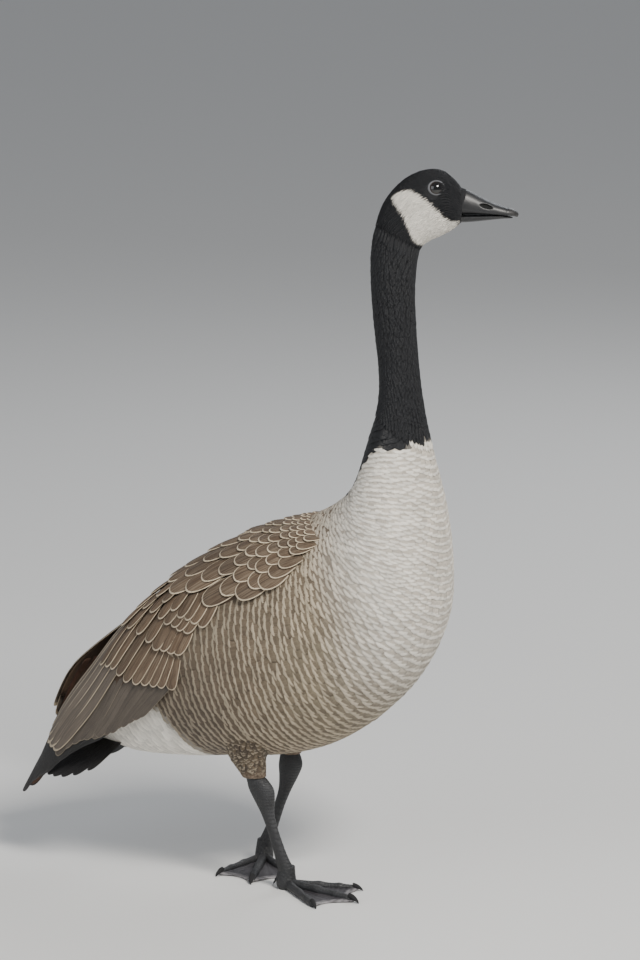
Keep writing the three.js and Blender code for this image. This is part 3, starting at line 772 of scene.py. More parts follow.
@dataclass(frozen=True)
class HornFinish:
    """Horn, scaled skin or web: the mesh's own tones with fine noise, and scales or grain as bump.

    A coat leaves out the parts of the mesh with the darkest tones: the nostrils, darkened as painted shade,
    and the feathered root.
    """

    name: str
    roughness: float
    scale: float
    cells: bool = False
    depth: float = 0.0004
    coat: float = 0.0
    tint: Optional[tuple] = None

    def make(self) -> bpy.types.Material:
        """Builds the material."""
        g = Graph(self.name)
        large = g.noise(60.0, 5.0)
        if self.cells:
            grain = g.node("ShaderNodeTexVoronoi", {"feature": "DISTANCE_TO_EDGE"},
                           {"Vector": g.place(), "Scale": self.scale}, output="Distance").step(0.0, 0.22)
        else:
            grain = g.noise(self.scale, 4.0)
        shade = large.step(0.3, 0.75) * 0.6 + grain * 0.3 + 0.6
        tone = self.tint or g.attribute("tone")
        g.set("Base Color", g.blend(1.0, tone, g.grey(shade), "MULTIPLY"))
        bare = g.parts(g.attribute("tone"))[0].step(0.006, 0.0095) if self.coat else 1.0
        g.set("Roughness", large * 0.25 + 0.75 + (self.roughness - 0.85) * bare)
        g.set("Coat Weight", bare * self.coat if self.coat else 0.0)
        g.set("Coat Roughness", 0.25)
        g.bump(grain, 0.6, self.depth)
        return g.material


@dataclass(frozen=True)
class EyeFinish:
    """A wet dark brown eye with a black pupil."""

    name: str
    centre: tuple
    axis: tuple
    iris: tuple = (0.014, 0.007, 0.004)
    black: tuple = (0.001, 0.001, 0.001)

    def make(self) -> bpy.types.Material:
        """Builds the material: brown at the rim, black where the axis leaves the eye."""
        g = Graph(self.name)
        away = g.node("ShaderNodeVectorMath", {"operation": "SUBTRACT"}, [g.place(), self.centre])
        dot = {"operation": "DOT_PRODUCT"}
        facing = g.node("ShaderNodeVectorMath", dot, [away, self.axis], output="Value")
        pupil = (facing / (EYE_R * MM)).step(0.78, 0.86)
        g.set("Base Color", g.blend(pupil, self.iris, self.black))
        g.set("Roughness", 0.08)
        g.set("Coat Weight", 0.6)
        g.set("Coat Roughness", 0.03)
        return g.material


class Markings:
    """Colours of the plumage by place in the bird's own frame, as linear red, green and blue."""

    BLACK = np.array((0.0052, 0.0058, 0.0078))
    WHITE = np.array((0.84, 0.80, 0.72))
    BREAST = np.array((0.66, 0.60, 0.51))
    CREAM = np.array((0.60, 0.50, 0.36))
    BROWN = np.array((0.104, 0.064, 0.037))
    DARK = np.array((0.060, 0.042, 0.030))
    FLANK = np.array((0.140, 0.104, 0.066))
    OLIVE = np.array((0.230, 0.195, 0.130))
    NAPE_DROP = 48.0
    EDGE_BLUR = 1.5
    CHEEK_FLOOR = (640.0, 650.0)
    TIPLESS_ABOVE = 500.0
    TIPLESS_RED = 0.03

    @staticmethod
    def head_frame(p: np.ndarray) -> np.ndarray:
        """Points turned back so that the head looks along X."""
        x, y = p[..., 0] - TURN_AXIS_X, p[..., 1]
        c, s = math.cos(-HEAD_TURN), math.sin(-HEAD_TURN)
        return np.stack([TURN_AXIS_X + x * c - y * s, x * s + y * c, p[..., 2]], -1)

    def cheek(self, p: np.ndarray) -> np.ndarray:
        """Share of white cheek patch, from the signed distance to its outline in the head's side view."""
        return smooth(-0.5, 0.7, outline_distance(self.head_frame(p)[..., (0, 2)], CHEEK))

    def black(self, p: np.ndarray, jitter: np.ndarray) -> np.ndarray:
        """Share of the neck's black: above an uneven edge that runs far down the back of the neck.

        Args:
            p: points (..., 3).
            jitter: unevenness of the edge, one normal number a point.

        Returns:
            Shares from 0 to 1.
        """
        x, y, z = p[..., 0], p[..., 1], p[..., 2]
        nape = smooth(104, 80, x) * smooth(38, 20, np.abs(y))
        edge = NECK_EDGE - self.NAPE_DROP * nape + 1.3 * jitter + 1.2 * np.sin(x * 0.35 + y * 0.2)
        return smooth(edge - self.EDGE_BLUR, edge + self.EDGE_BLUR, z)

    @staticmethod
    def pale(p: np.ndarray) -> np.ndarray:
        """Share of the pale breast, which reaches further back the higher it is."""
        x, z = p[..., 0], p[..., 2]
        return smooth(52, 128, x + 0.35 * np.clip(z - 300, 0, 160)) * smooth(150, 290, z)

    @staticmethod
    def vent(p: np.ndarray) -> np.ndarray:
        """Share of the white under the tail, behind a slanting edge."""
        x, z = p[..., 0], p[..., 2]
        return smooth(-66, -80, x + (z - 130) * 0.78) * smooth(215, 190, z + 0.1 * x)

    def tone(self, p: np.ndarray, rng: Optional[np.random.Generator] = None) -> np.ndarray:
        """Base colour of plumage: olive and brown sides darkened low down by painted shade, a brown mantle,
        pale breast, white vent, black neck.

        Args:
            p: points (..., 3).
            rng: seeded random numbers for the black's edge, or None for an even edge.

        Returns:
            Colours (..., 3).
        """
        x, z = p[..., 0], p[..., 2]
        jitter = rng.normal(0, 1, x.shape) if rng is not None else np.zeros_like(x)
        # painted shade: the sides darken towards DARK low on the body and at the lower rear, standing in for
        # shade under the belly
        low = (smooth(10, -90, x) * smooth(290, 170, z) + 0.35 * smooth(170, 135, z))[..., None]
        front = 0.8 * smooth(-20, 70, x) * smooth(350, 250, z)
        side = mix(self.FLANK, self.OLIVE, front[..., None])
        side = mix(mix(side, self.DARK, 0.85 * np.clip(low, 0, 1)), self.BREAST, self.pale(p)[..., None])
        mantle = smooth(72, 40, x) * smooth(345, 385, z)
        side = mix(side, self.BROWN, mantle[..., None])
        colour = mix(side, self.WHITE, self.vent(p)[..., None])
        colour = mix(colour, self.BLACK, self.black(p, jitter)[..., None])
        return mix(colour, self.WHITE, (self.cheek(p) * smooth(*self.CHEEK_FLOOR, z))[..., None])

    def rim(self, p: np.ndarray, tone: np.ndarray) -> np.ndarray:
        """Colour of the feathers' pale tips, or a little over the tone where feathers have none.

        Args:
            p: points (..., 3).
            tone: the feathers' own tone (..., 3).

        Returns:
            Colours (..., 3).
        """
        rear = 1 - 0.42 * smooth(30, -90, p[..., 0])
        rim = mix(self.CREAM * 0.85 * rear[..., None], self.WHITE, self.pale(p)[..., None])
        plain = (tone[..., 0] < self.TIPLESS_RED) | (self.vent(p) > 0.5) | (p[..., 2] > self.TIPLESS_ABOVE)
        return np.where(plain[..., None], tone * 1.12, rim)


BLUNT = {"along": 7, "across": 5, "crown": 0.05, "round_from": 0.70}
NARROW = {"along": 6, "across": 3, "crown": 0.3, "round_from": 0.3}
TINY = {"along": 4, "across": 3, "crown": 0.3, "round_from": 0.25, "thick": 0.2}


@dataclass(frozen=True)
class Region:
    """One stretch of the body's coat.

    start and stop count the body's sections. gap and spread are the spacing of the roots along and round
    the body, length and half the feathers' length and half width, and lift the height of root and tip, in
    millimetres. shape is the vane's outline, and furrows the number of grooves that feathers lean into.
    """

    name: str
    start: float
    stop: float
    gap: float
    spread: float
    length: float
    half: float
    lift: tuple[float, float]
    shape: dict
    furrows: int = 0


@dataclass
class BodyCoat:
    """Skin and small feathers of head, neck and torso."""

    surface: Surface
    marks: Markings
    shift: np.ndarray
    finish: bpy.types.Material
    skin_finish: bpy.types.Material
    seed: int = 11
    rings: int = 360
    columns: int = 120
    patch_size: float = 0.003
    bare_round_eye: float = 8.6
    wing_cover: float = 28.0
    wing_front: float = 40.0

    REGIONS: ClassVar[tuple[Region, ...]] = (
        Region("coat_rump", 1.2, 5.0, 7.2, 7.6, 24.0, 8.4, (-2.4, 0.3), BLUNT),
        Region("coat_side", 5.0, 7.1, 7.0, 7.6, 24.0, 8.4, (-2.4, 0.3), BLUNT),
        Region("coat_shoulder", 7.1, 9.2, 7.0, 7.6, 24.0, 8.4, (-2.4, 0.3), BLUNT),
        Region("coat_breast", 9.2, 12.7, 5.8, 6.4, 19.0, 7.0, (-2.2, 0.3), BLUNT),
        Region("coat_neck", 12.7, 18.4, 3.6, 3.9, 15.0, 2.6, (-1.2, 0.3), NARROW, furrows=22),
        Region("coat_head", 18.4, 24.0, 1.7, 1.9, 6.0, 1.1, (-0.7, 0.15), TINY))

    @staticmethod
    def depth(s: np.ndarray) -> np.ndarray:
        """How far the skin lies inside the outline: deep on the torso, shallow on the face."""
        return 2.6 - 1.5 * smooth(11 / LAST, 14 / LAST, s) - 0.5 * smooth(18 / LAST, 21 / LAST, s)

    def skin(self) -> bpy.types.Object:
        """One closed skin from rump to bill, its rings the body's ovals moved in by the coat's depth."""
        s = np.linspace(0, 1, self.rings)
        a = np.arange(self.columns) / self.columns
        grid = np.stack(np.meshgrid(s, a, indexing="ij"), -1)
        points = self.surface.point(grid) - self.surface.normal(grid) * self.depth(grid[..., 0])[..., None]
        # the skin's tone is the markings darkened to 0.8: painted shade in the gaps between the feathers
        return closed_loft("skin", points, self.shift, self.skin_finish, self.marks.tone(points) * 0.8)

    def bow(self, root: np.ndarray) -> tuple[np.ndarray, np.ndarray]:
        """The bend of the rows: ahead by the square of the normal's rise, most at the rump.

        Args:
            root: parameters (n, 2).

        Returns:
            Millimetres ahead, and the angle by which the feathers there turn from straight back.
        """
        high = np.clip(self.surface.normal(root)[:, 2], -0.85, 0.85)
        s = root[:, 0]
        most = 24 - 16 * smooth(6 / LAST, 9 / LAST, s) - 8 * smooth(9 / LAST, 12 / LAST, s)
        return most * high ** 2, np.arctan(most * high / 45)

    def patch(self, root: np.ndarray, own: np.ndarray) -> np.ndarray:
        """Each feather's patch on the bake map, at its root's place on the unwrap of the surface.

        Args:
            root: parameters (n, 2).
            own: the vane's own map (m, 2).

        Returns:
            Places (n, m, 2).
        """
        at = 0.01 + 0.97 * np.clip(np.mod(root, 1.0), 0, 1)
        return at[:, None] + self.patch_size * (own[None] - 0.5)

    def rows(self, region: Region, rng: np.random.Generator) -> np.ndarray:
        """Roots in rings, each ring a row gap ahead of the last, alternate rings half a feather round.

        Args:
            region: stretch of the coat.
            rng: seeded random numbers.

        Returns:
            Root parameters (n, 2).
        """
        places, s, row = [], region.start / LAST, 0
        while s < region.stop / LAST:
            ring = np.stack([np.full(64, s), np.arange(64) / 64], -1)
            along, across = self.surface.tangents(ring)
            round_length = np.linalg.norm(across, axis=-1).mean()
            count = max(8, int(round(round_length / region.spread)))
            a = (np.arange(count) + 0.5 * (row % 2) + rng.normal(0, 0.07, count)) / count
            places.append(np.stack([np.full(count, s) + rng.normal(0, 0.0004, count), np.mod(a, 1.0)], -1))
            s += region.gap / np.linalg.norm(along, axis=-1).mean()
            row += 1
        root = np.concatenate(places)
        root[:, 0] += self.bow(root)[0] / np.linalg.norm(self.surface.tangents(root)[0], axis=-1)
        return root

    def tips(self, root: np.ndarray, region: Region, rng: np.random.Generator) -> np.ndarray:
        """Tips a feather's length behind the roots, turned with the rows' bend and leaning into furrows.

        Args:
            root: parameters (n, 2).
            region: stretch of the coat.
            rng: seeded random numbers.

        Returns:
            Tip parameters (n, 2).
        """
        n = len(root)
        along, across = self.surface.tangents(root)
        turn = self.bow(root)[1]
        tip = root.copy()
        long = region.length * (1 + rng.normal(0, 0.022, n))
        tip[:, 0] -= long * np.cos(turn) / np.linalg.norm(along, axis=-1)
        tip[:, 1] += long * np.sin(turn) * np.sign(across[:, 2]) / np.linalg.norm(across, axis=-1)
        tip[:, 1] += rng.normal(0, 0.0015, n)
        if region.furrows:
            sway = 0.6 * np.sin(root[:, 0] * 60)
            lines = np.round(root[:, 1] * region.furrows + sway) - sway
            share = 0.45 * smooth(500, 570, self.surface.point(root)[:, 2])
            tip[:, 1] += share * (lines / region.furrows - root[:, 1])
        return tip

    def tract(self, root: np.ndarray, region: Region, rng: np.random.Generator) -> Tract:
        """Feathers of one region at roots, with the markings' tones and bands of the place.

        Args:
            root: parameters (n, 2).
            region: stretch of the coat.
            rng: seeded random numbers.

        Returns:
            The tract.
        """
        n = len(root)
        tip = self.tips(root, region, rng)
        middle = self.surface.point((root + tip) / 2)
        pale, tone = self.marks.pale(middle), self.marks.tone(middle, rng)
        band = 0.42 + 0.14 * pale + rng.normal(0, 0.03, n)
        bar = 0.45 - 0.25 * pale * smooth(210, 330, middle[:, 2])
        barred = (tone[:, 0] > self.marks.TIPLESS_RED) * (1 - self.marks.vent(middle))
        bar = np.clip(bar * barred * rng.uniform(0.5, 1.15, n), 0, 1)
        lifts = np.tile(np.array(region.lift, float), (n, 1))
        lifts[:, 1] += rng.normal(0, 0.12, n)
        half = region.half * (1 + rng.normal(0, 0.04, n))
        rim = self.marks.rim(middle, tone)
        return Tract(root, tip, half, lifts, tone, rim, band, bar, style=1.0, **region.shape)

    def shown(self, root: np.ndarray) -> np.ndarray:
        """Roots that stand clear of the eyes and that no folded wing hides."""
        p = self.surface.point(root)
        line = np.interp(p[:, 0], WING_LINE[:, 0], WING_LINE[:, 1])
        keep = (p[:, 0] >= self.wing_front) | (p[:, 2] <= line + self.wing_cover)
        for side in Side:
            eye = turned(np.array((EYE_X, side.value * (EYE_Y + 7), EYE_Z), float))
            keep &= np.linalg.norm(p - eye, axis=-1) > self.bare_round_eye
        return root[keep]

    def feathers(self) -> list[bpy.types.Object]:
        """All the small feathers, one piece a region."""
        rng = np.random.default_rng(self.seed)
        made = []
        for region in self.REGIONS:
            root = self.shown(self.rows(region, rng))
            plumage = Plumage()
            plumage.add(self.surface, self.tract(root, region, rng), self.patch, rng)
            made.append(plumage.build(region.name, self.shift, self.finish))
        return made


@dataclass(frozen=True)
class WingRow:
    """One row of a wing's feathers between two lines of points (along, across) on the wing.

    half is the half width and lift the height of root and tip in millimetres, tone and rim are colours,
    band is the rim's share of the feather, and shape is the vane's outline.
    """

    roots: tuple
    tips: tuple
    count: int
    half: float
    lift: tuple[float, float]
    tone: np.ndarray
    rim: np.ndarray
    band: float
    shape: dict
    roll: float = 0.12


@dataclass
class Wing:
    """One folded wing: its core sheet and rows of feathers from scapulars to primaries."""

    side: Side
    marks: Markings
    shift: np.ndarray
    finish: bpy.types.Material
    seed: int = 5
    height: float = 134.0
    cells: int = 20
    slots: int = 0

    GREY: ClassVar[np.ndarray] = np.array((0.115, 0.093, 0.075))
    BLACK: ClassVar[np.ndarray] = np.array((0.014, 0.013, 0.013))
    CHESTNUT: ClassVar[np.ndarray] = np.array((0.105, 0.052, 0.032))
    SCAPULAR_TIPS: ClassVar[tuple[float, ...]] = (
        0.066, 0.084, 0.104, 0.128, 0.158, 0.188, 0.218, 0.256, 0.305, 0.362, 0.42, 0.478)
    SHEET: ClassVar[np.ndarray] = np.array([
        (0.045, 0.42), (0.1, 0.54), (0.16, 0.68), (0.25, 0.69), (0.35, 0.68), (0.43, 0.74), (0.485, 0.9),
        (0.505, 1.0), (1.0, 1.0)])

    def __post_init__(self) -> None:
        """Prepares the surface, a little past the wing's ends and edges."""
        self.surface = Surface(lambda s, v: wing_point(s, v, self.side), (-0.06, -0.06), (1.12, 1.16),
                               (300, 140), outward=-self.side.value)

    def patch(self, root: np.ndarray, own: np.ndarray) -> np.ndarray:
        """Each feather's own cell on the bake map, in a square grid.

        Args:
            root: parameters (n, 2).
            own: the vane's own map (m, 2).

        Returns:
            Places (n, m, 2).
        """
        number = self.slots + np.arange(len(root))
        self.slots += len(root)
        cell = np.stack([number % self.cells, number // self.cells], -1) / self.cells
        return cell[:, None] + (own[None] * 0.86 + 0.07) / self.cells

    def flight(self) -> list[WingRow]:
        """Primaries, secondaries, tertials, greater, median and lesser coverts, in the order they lie."""
        brown, cream, grey = self.marks.BROWN, self.marks.CREAM, self.GREY
        fine = {"along": 22, "across": 9, "thick": 0.5}
        covert = {"crown": 0.15, "thick": 0.5, "round_from": 0.5, "along": 14, "across": 9}
        primaries = 8
        inner = np.linspace(0, 1, primaries)[:, None] > 0.45
        primary_tone = np.where(inner & (self.side is Side.LEFT), self.CHESTNUT, self.BLACK)
        return [
            WingRow(((0.66, 0.95), (0.72, 0.5), (0.78, 0.1)), ((0.90, 0.98), (0.955, 0.9), (1.0, 0.45)),
                    primaries, 8.5, (-3.2, -1.4), primary_tone, self.BLACK * 3, 0.05,
                    {**fine, "round_from": 0.72}),
            WingRow(((0.40, 0.88), (0.5, 0.68), (0.64, 0.42)), ((0.60, 1.0), (0.75, 0.995), (0.905, 0.91)),
                    14, 6.6, (-2.6, 0.6), grey * 0.74, cream * 0.42, 0.06, {**fine, "round_from": 0.86}),
            WingRow(((0.52, 0.46), (0.54, 0.24), (0.54, 0.04)), ((0.905, 0.80), (0.918, 0.45), (0.9, 0.08)),
                    6, 11, (-2.2, 1.8), grey * 0.95, cream * 0.8, 0.06, {**fine, "round_from": 0.8}),
            WingRow(((0.44, 0.80), (0.49, 0.62), (0.57, 0.20)),
                    ((0.485, 0.985), (0.60, 0.79), (0.69, 0.44)),
                    10, 7.2, (-1.5, 2.4), brown * 0.9, cream * 1.05, 0.09,
                    {**covert, "round_from": 0.7, "along": 16, "across": 7}),
            WingRow(((0.385, 0.68), (0.45, 0.50), (0.53, 0.10)),
                    ((0.44, 0.82), (0.515, 0.69), (0.615, 0.26)),
                    8, 9.4, (-1.4, 3.2), brown, cream, 0.08, covert),
            WingRow(((0.345, 0.60), (0.42, 0.42), (0.48, 0.06)), ((0.398, 0.735), (0.47, 0.58), (0.57, 0.21)),
                    8, 9.0, (-1.2, 3.9), brown, cream, 0.09, covert),
            WingRow(((0.30, 0.60), (0.38, 0.42), (0.44, 0.06)), ((0.35, 0.75), (0.425, 0.60), (0.53, 0.18)),
                    8, 8.8, (-1.0, 4.4), brown, cream, 0.10, {**covert, "along": 12})]

    def scapulars(self) -> list[WingRow]:
        """Rows over the shoulder, growing from small scales to broad feathers, each row set off by half."""
        shape = {"round_from": 0.45, "along": 14, "across": 11, "thick": 0.5}
        rows = []
        for number, tip in enumerate(self.SCAPULAR_TIPS):
            reach = (0.05, 0.1, 0.16, 0.23, 0.335, 0.4, 0.5)
            limit = float(np.interp(tip, reach, (0.42, 0.56, 0.71, 0.72, 0.68, 0.56, 0.3)))
            size = float(np.interp(tip, (0.06, 0.2, 0.42), (10.0, 19.0, 26.0)))
            count = max(2, int(round(limit * self.height / size)) + number % 2)
            high = limit * (0.06 if number % 2 else 0.06 + 0.5 / count)
            low = limit * (1 - 0.04 if number % 2 else 1 - 0.5 / count)
            long = float(np.interp(tip, (0.06, 0.2, 0.45), (0.05, 0.085, 0.14)))
            drop = 0.06 * limit
            rows.append(WingRow(
                ((tip - long - 0.02, low - drop), (tip - long, max(0.0, high - drop))),
                ((tip - 0.024, low), (tip + 0.012, high)), count, size * 0.60, (-1.6, 4.6),
                self.marks.BROWN * 0.88, self.marks.CREAM * 1.3,
                float(np.interp(size, (10, 26), (0.12, 0.06))), shape, roll=0.03))
        return rows

    def tract(self, row: WingRow, rng: np.random.Generator) -> Tract:
        """The feathers of a row, spread evenly along its two lines with a little disorder.

        Args:
            row: the row.
            rng: seeded random numbers.

        Returns:
            The tract.
        """
        count = row.count
        roots, tips = (spread_along(line, count) for line in (row.roots, row.tips))
        slip = [rng.normal(0, 1, count) * share for share in (0.0022, 0.003)]
        lifts = np.tile(np.array(row.lift, float), (count, 1))
        lifts[:, 1] += rng.normal(0, 1, count) * 0.15
        tones = np.broadcast_to(row.tone, (count, 3)) * (1 + 0.09 * rng.normal(0, 1, count))[:, None]
        half = row.half * (1 + 0.05 * rng.normal(0, 1, count))
        rims, bands = np.broadcast_to(row.rim, (count, 3)), np.full(count, row.band)
        return Tract(roots, tips + np.stack(slip, -1), half, lifts, tones, rims, bands, np.zeros(count),
                     roll=row.roll * -self.side.value, **row.shape)

    def build(self) -> bpy.types.Object:
        """All the wing's feathers in one mesh."""
        rng = np.random.default_rng(self.seed + self.side.value)
        plumage = Plumage()
        for row in self.flight() + self.scapulars():
            plumage.add(self.surface, self.tract(row, rng), self.patch, rng)
        return plumage.build("feathers_wing_" + self.side.word, self.shift, self.finish)

    def core(self, material: bpy.types.Material, rings: int = 80, columns: int = 30) -> bpy.types.Object:
        """The closed sheet under the wing's feathers, so that nothing shows between them.

        Args:
            material: finish.
            rings: points along the wing.
            columns: points across it, from the top line to the sheet's own lower limit.

        Returns:
            The sheet.
        """
        s = np.linspace(0.05, 0.88, rings)
        limit = np.interp(s, self.SHEET[:, 0], self.SHEET[:, 1]) * 0.985
        at = np.stack([np.repeat(s[:, None], columns, 1), np.linspace(0.01, limit, columns, axis=1)], -1)
        top = self.surface.point(at) - self.surface.normal(at) * 0.8
        low = top - self.surface.normal(at) * 1.4
        points = np.concatenate([top.reshape(-1, 3), low.reshape(-1, 3)])
        cell = sheet_faces(rings, columns)
        if self.side is Side.RIGHT:
            cell = cell[:, ::-1]
        obj = make_mesh("wing_sheet_" + self.side.word, points, cell, self.shift, material)
        # brown darkened to 0.7: painted shade in the gaps between the wing's feathers
        add_colour(obj.data, "tone", np.tile(self.marks.BROWN * 0.7, (len(points), 1)))
        both = np.concatenate([at.reshape(-1, 2)] * 2)
        add_map(obj.data, "OFBake", both[cell.reshape(-1)] * 0.95 + 0.02)
        return obj


@dataclass
class Tail:
    """Black tail feathers fanned in a low roof."""

    shift: np.ndarray
    finish: bpy.types.Material
    count: int = 16
    half: float = 9.5
    seed: int = 3

    BLACK: ClassVar[np.ndarray] = np.array((0.013, 0.012, 0.012))

    @staticmethod
    def fan(t: np.ndarray, u: np.ndarray) -> np.ndarray:
        """Point of the fan: straight from root to tip, the sides lower at the root and shorter."""
        side = np.abs(u)
        root = np.stack([np.full_like(u, -185.0), -17 * u, 163 + (141 - 163) * side], -1)
        tip = np.stack([-278 + 69 * side ** 2.4, -55 * u, 95 + 16 * side ** 5], -1)
        return root + (tip - root) * t[..., None]

    def patch(self, root: np.ndarray, own: np.ndarray) -> np.ndarray:
        """Each feather's own cell on the bake map, in a grid of four by four.

        Args:
            root: parameters (n, 2).
            own: the vane's own map (m, 2).

        Returns:
            Places (n, m, 2).
        """
        number = np.arange(len(root))
        return (np.stack([number % 4, number // 4], -1)[:, None] + own[None] * 0.9 + 0.05) / 4.0

    def build(self) -> bpy.types.Object:
        """The tail feathers, the middle ones on top."""
        n = self.count
        u = np.linspace(-1, 1, n)
        black = np.tile(self.BLACK, (n, 1))
        roots, tips = (np.stack([np.full(n, place), u], -1) for place in (0.02, 1.0))
        lift = np.stack([np.zeros(n), 1.2 * (1 - np.abs(u))], -1)
        tract = Tract(roots, tips, np.full(n, self.half), lift, black, black * 2.5, np.full(n, 0.05),
                      np.zeros(n), round_from=0.75, narrow=0.5, thick=0.5, across=9, along=20)
        surface = Surface(self.fan, (0.0, -1.15), (1.08, 1.15), (60, 120))
        plumage = Plumage()
        plumage.add(surface, tract, self.patch, np.random.default_rng(self.seed))
        return plumage.build("feathers_tail", self.shift, self.finish)


@dataclass
class Bill:
    """Horn of the upper and lower bill, with nostrils, placed as on a head that looks straight ahead."""

    shift: np.ndarray
    finish: bpy.types.Material
    nostril_x: float = 188.5
    nostril_z: float = 694.0
    nostril_long: float = 6.6
    nostril_high: float = 2.3
    nostril_deep: float = 2.4
    nail_from: float = 209.0

    HORN: ClassVar[np.ndarray] = np.array((0.0105, 0.011, 0.0125))
    # near black painted shade for the nostrils' recesses
    HOLLOW: ClassVar[np.ndarray] = np.array((0.001, 0.001, 0.001))
    NAIL: ClassVar[np.ndarray] = np.array((0.022, 0.021, 0.021))
    UPPER: ClassVar[np.ndarray] = np.array([
        (163.5, 711.6, 163.5, 684.8, 11.4, 0.3, 2.1), (172, 708.6, 172, 685.0, 11.2, 0.28, 2.1),
        (184, 702.4, 184, 685.2, 10.9, 0.25, 2.2), (196, 696.8, 196, 685, 10.2, 0.22, 2.3),
        (207, 693, 207, 684.6, 9, 0.2, 2.3), (215, 690.6, 215, 683.4, 6.6, 0.3, 2.2),
        (219, 688, 218.6, 682.6, 3.8, 0.45, 2), (220.6, 685.6, 219.8, 682.8, 1.6, 0.5, 2)], float)
    LOWER: ClassVar[np.ndarray] = np.array([
        (163.5, 684.5, 163.5, 677.2, 9.4, 0.75, 2.2), (176, 684.6, 176, 678, 9.2, 0.75, 2.2),
        (190, 684.7, 190, 679.4, 8.7, 0.75, 2.2), (203, 684.3, 203, 680.8, 7.5, 0.7, 2.2),
        (211, 683.4, 211, 681.2, 5.2, 0.6, 2), (214.6, 682.4, 214.6, 681.4, 2.4, 0.5, 2)], float)

    def dress_upper(self, points: np.ndarray, tone: np.ndarray) -> tuple[np.ndarray, np.ndarray]:
        """Presses in the nostrils and darkens them near black as painted shade, folds the horn before the
        nail and colours the nail and the feathered root.

        Each nostril is an ellipse that leans down ahead, sunk by a smooth step of the distance from its
        middle, with a low lip round it.

        Args:
            points: the upper half's points, before the head's turn.
            tone: their colours.

        Returns:
            New points and colours.
        """
        points = points.copy()
        x = points[..., 0]
        dx = (x - self.nostril_x) / self.nostril_long
        dz = (points[..., 2] - self.nostril_z - dx * -1.6) / self.nostril_high
        near = np.sqrt(dx ** 2 + dz ** 2)
        dent = 1 - smooth(0.55, 1.05, near)
        lip = np.exp(-((near - 1.35) / 0.3) ** 2)
        points[..., 1] -= np.sign(points[..., 1]) * (self.nostril_deep * dent - 0.06 * lip)
        # painted shade: each nostril darkens to near black towards its middle
        tone = mix(tone, self.HOLLOW, (1 - smooth(0.8, 1.15, near))[..., None])
        edge = 162.5 + 6.2 * smooth(685, 708, points[..., 2])
        feathered = 1 - smooth(edge - 0.6, edge + 0.6, x)
        tone = mix(tone, Markings.BLACK * 0.9, feathered[..., None])
        tone = mix(tone, self.NAIL, smooth(self.nail_from, self.nail_from + 5, x)[..., None])
        points[..., 2] -= 0.25 * np.exp(-((x - self.nail_from) / 0.8) ** 2)
        return points, tone

    def build(self) -> None:
        """Both halves, as lofts of ovals."""
        s, a = np.meshgrid(np.linspace(0, 1, 160), np.arange(96) / 96, indexing="ij")
        for name, table in (("upper", self.UPPER), ("lower", self.LOWER)):
            points = body_point(s, a, table, turn=False)
            tone = np.tile(self.HORN, (*s.shape, 1))
            if name == "upper":
                points, tone = self.dress_upper(points, tone)
            obj = closed_loft("bill_horn_" + name, turned(points), self.shift, self.finish, tone)
            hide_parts("bill_" + name)


@dataclass
class Eye:
    """One eye with its ring of lids."""

    side: Side
    shift: np.ndarray
    lid_finish: bpy.types.Material
    lid_ring: float = 7.15
    lid_tube: float = 0.98
    lid_out: float = 5.7

    def build(self) -> None:
        """A ball, its pupil turned out and a little up and ahead, and its lids."""
        sign = self.side.value
        centre = turned(np.array((EYE_X, sign * EYE_Y, EYE_Z)))
        aim = turned(np.array((EYE_X + 3, sign * 30.0, EYE_Z + 7)))
        outward = unit(aim - turned(np.array((EYE_X, 0.0, EYE_Z))))
        middle = tuple((centre + self.shift) * MM)
        finish = EyeFinish("eye_" + self.side.word + "_wet", middle, tuple(outward))
        t, a = np.meshgrid(np.linspace(0.004, 0.996, 64), np.arange(96) / 96, indexing="ij")
        z, r = np.cos(np.pi * t), np.sin(np.pi * t)
        ball = centre + EYE_R * np.stack([r * np.cos(2 * np.pi * a), r * np.sin(2 * np.pi * a), z], -1)
        obj = closed_loft("eyeball_" + self.side.word, ball, self.shift, finish.make())
        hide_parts("eye_" + self.side.word)
        self.lids(outward, centre)

    def lids(self, outward: np.ndarray, centre: np.ndarray) -> None:
        """The lid ring: a thin torus round the eye's axis, a little longer than high, with fine knobs.

        Args:
            outward: direction of the eye's axis.
            centre: middle of the eye.
        """
        ahead = unit(np.cross(np.array((0.0, 0.0, 1.0)), outward)) * -self.side.value
        up = np.cross(outward, ahead) * -self.side.value
        if up[2] < 0:
            up = -up
        a, b = np.meshgrid(np.arange(144) / 144 * 2 * np.pi, np.arange(24) / 24 * 2 * np.pi, indexing="ij")
        tube = self.lid_tube + 0.09 * np.cos(40 * a) + 0.10 * np.cos(2 * a)
        ring = self.lid_ring + tube * np.cos(b)
        parts = ((ahead, ring * np.cos(a) * 1.06), (up, ring * np.sin(a) * 0.95),
                 (outward, self.lid_out + 1.05 * tube * np.sin(b)))
        points = centre + sum(direction * size[..., None] for direction, size in parts)
        index = np.arange(a.size).reshape(a.shape)
        nxt, over = np.roll(index, -1, axis=0), np.roll(index, -1, axis=1)
        faces = np.stack([index, nxt, np.roll(nxt, -1, axis=1), over], -1).reshape(-1, 4)
        if self.side is Side.LEFT:
            faces = faces[:, ::-1]
        obj = make_mesh("lids_" + self.side.word, points.reshape(-1, 3), faces, self.shift, self.lid_finish)
        uv = np.stack([a, b], -1).reshape(-1, 2)[faces.reshape(-1)].reshape(-1, 4, 2) / (2 * np.pi)
        uv += (uv < 0.5) * (uv.max(1) - uv.min(1) > 0.5)[:, None]
        add_map(obj.data, "OFBake", 0.01 + 0.96 * uv.reshape(-1, 2))


@dataclass(frozen=True)
class Toe:
    """A toe: turn from the foot's heading in degrees, length to the claw's tip, half width, root's height.

    A height of 0 is a toe that lies flat from its root on.
    """

    turn: float
    long: float
    half: float
    top: float = 0.0

    @property
    def start(self) -> float:
        """Where the toe's skin begins along its line."""
        return 4.0 if self.top else -6.0

    @property
    def stop(self) -> float:
        """Where the toe's skin ends along its line."""
        return (0.82 if self.top else 0.90) * self.long


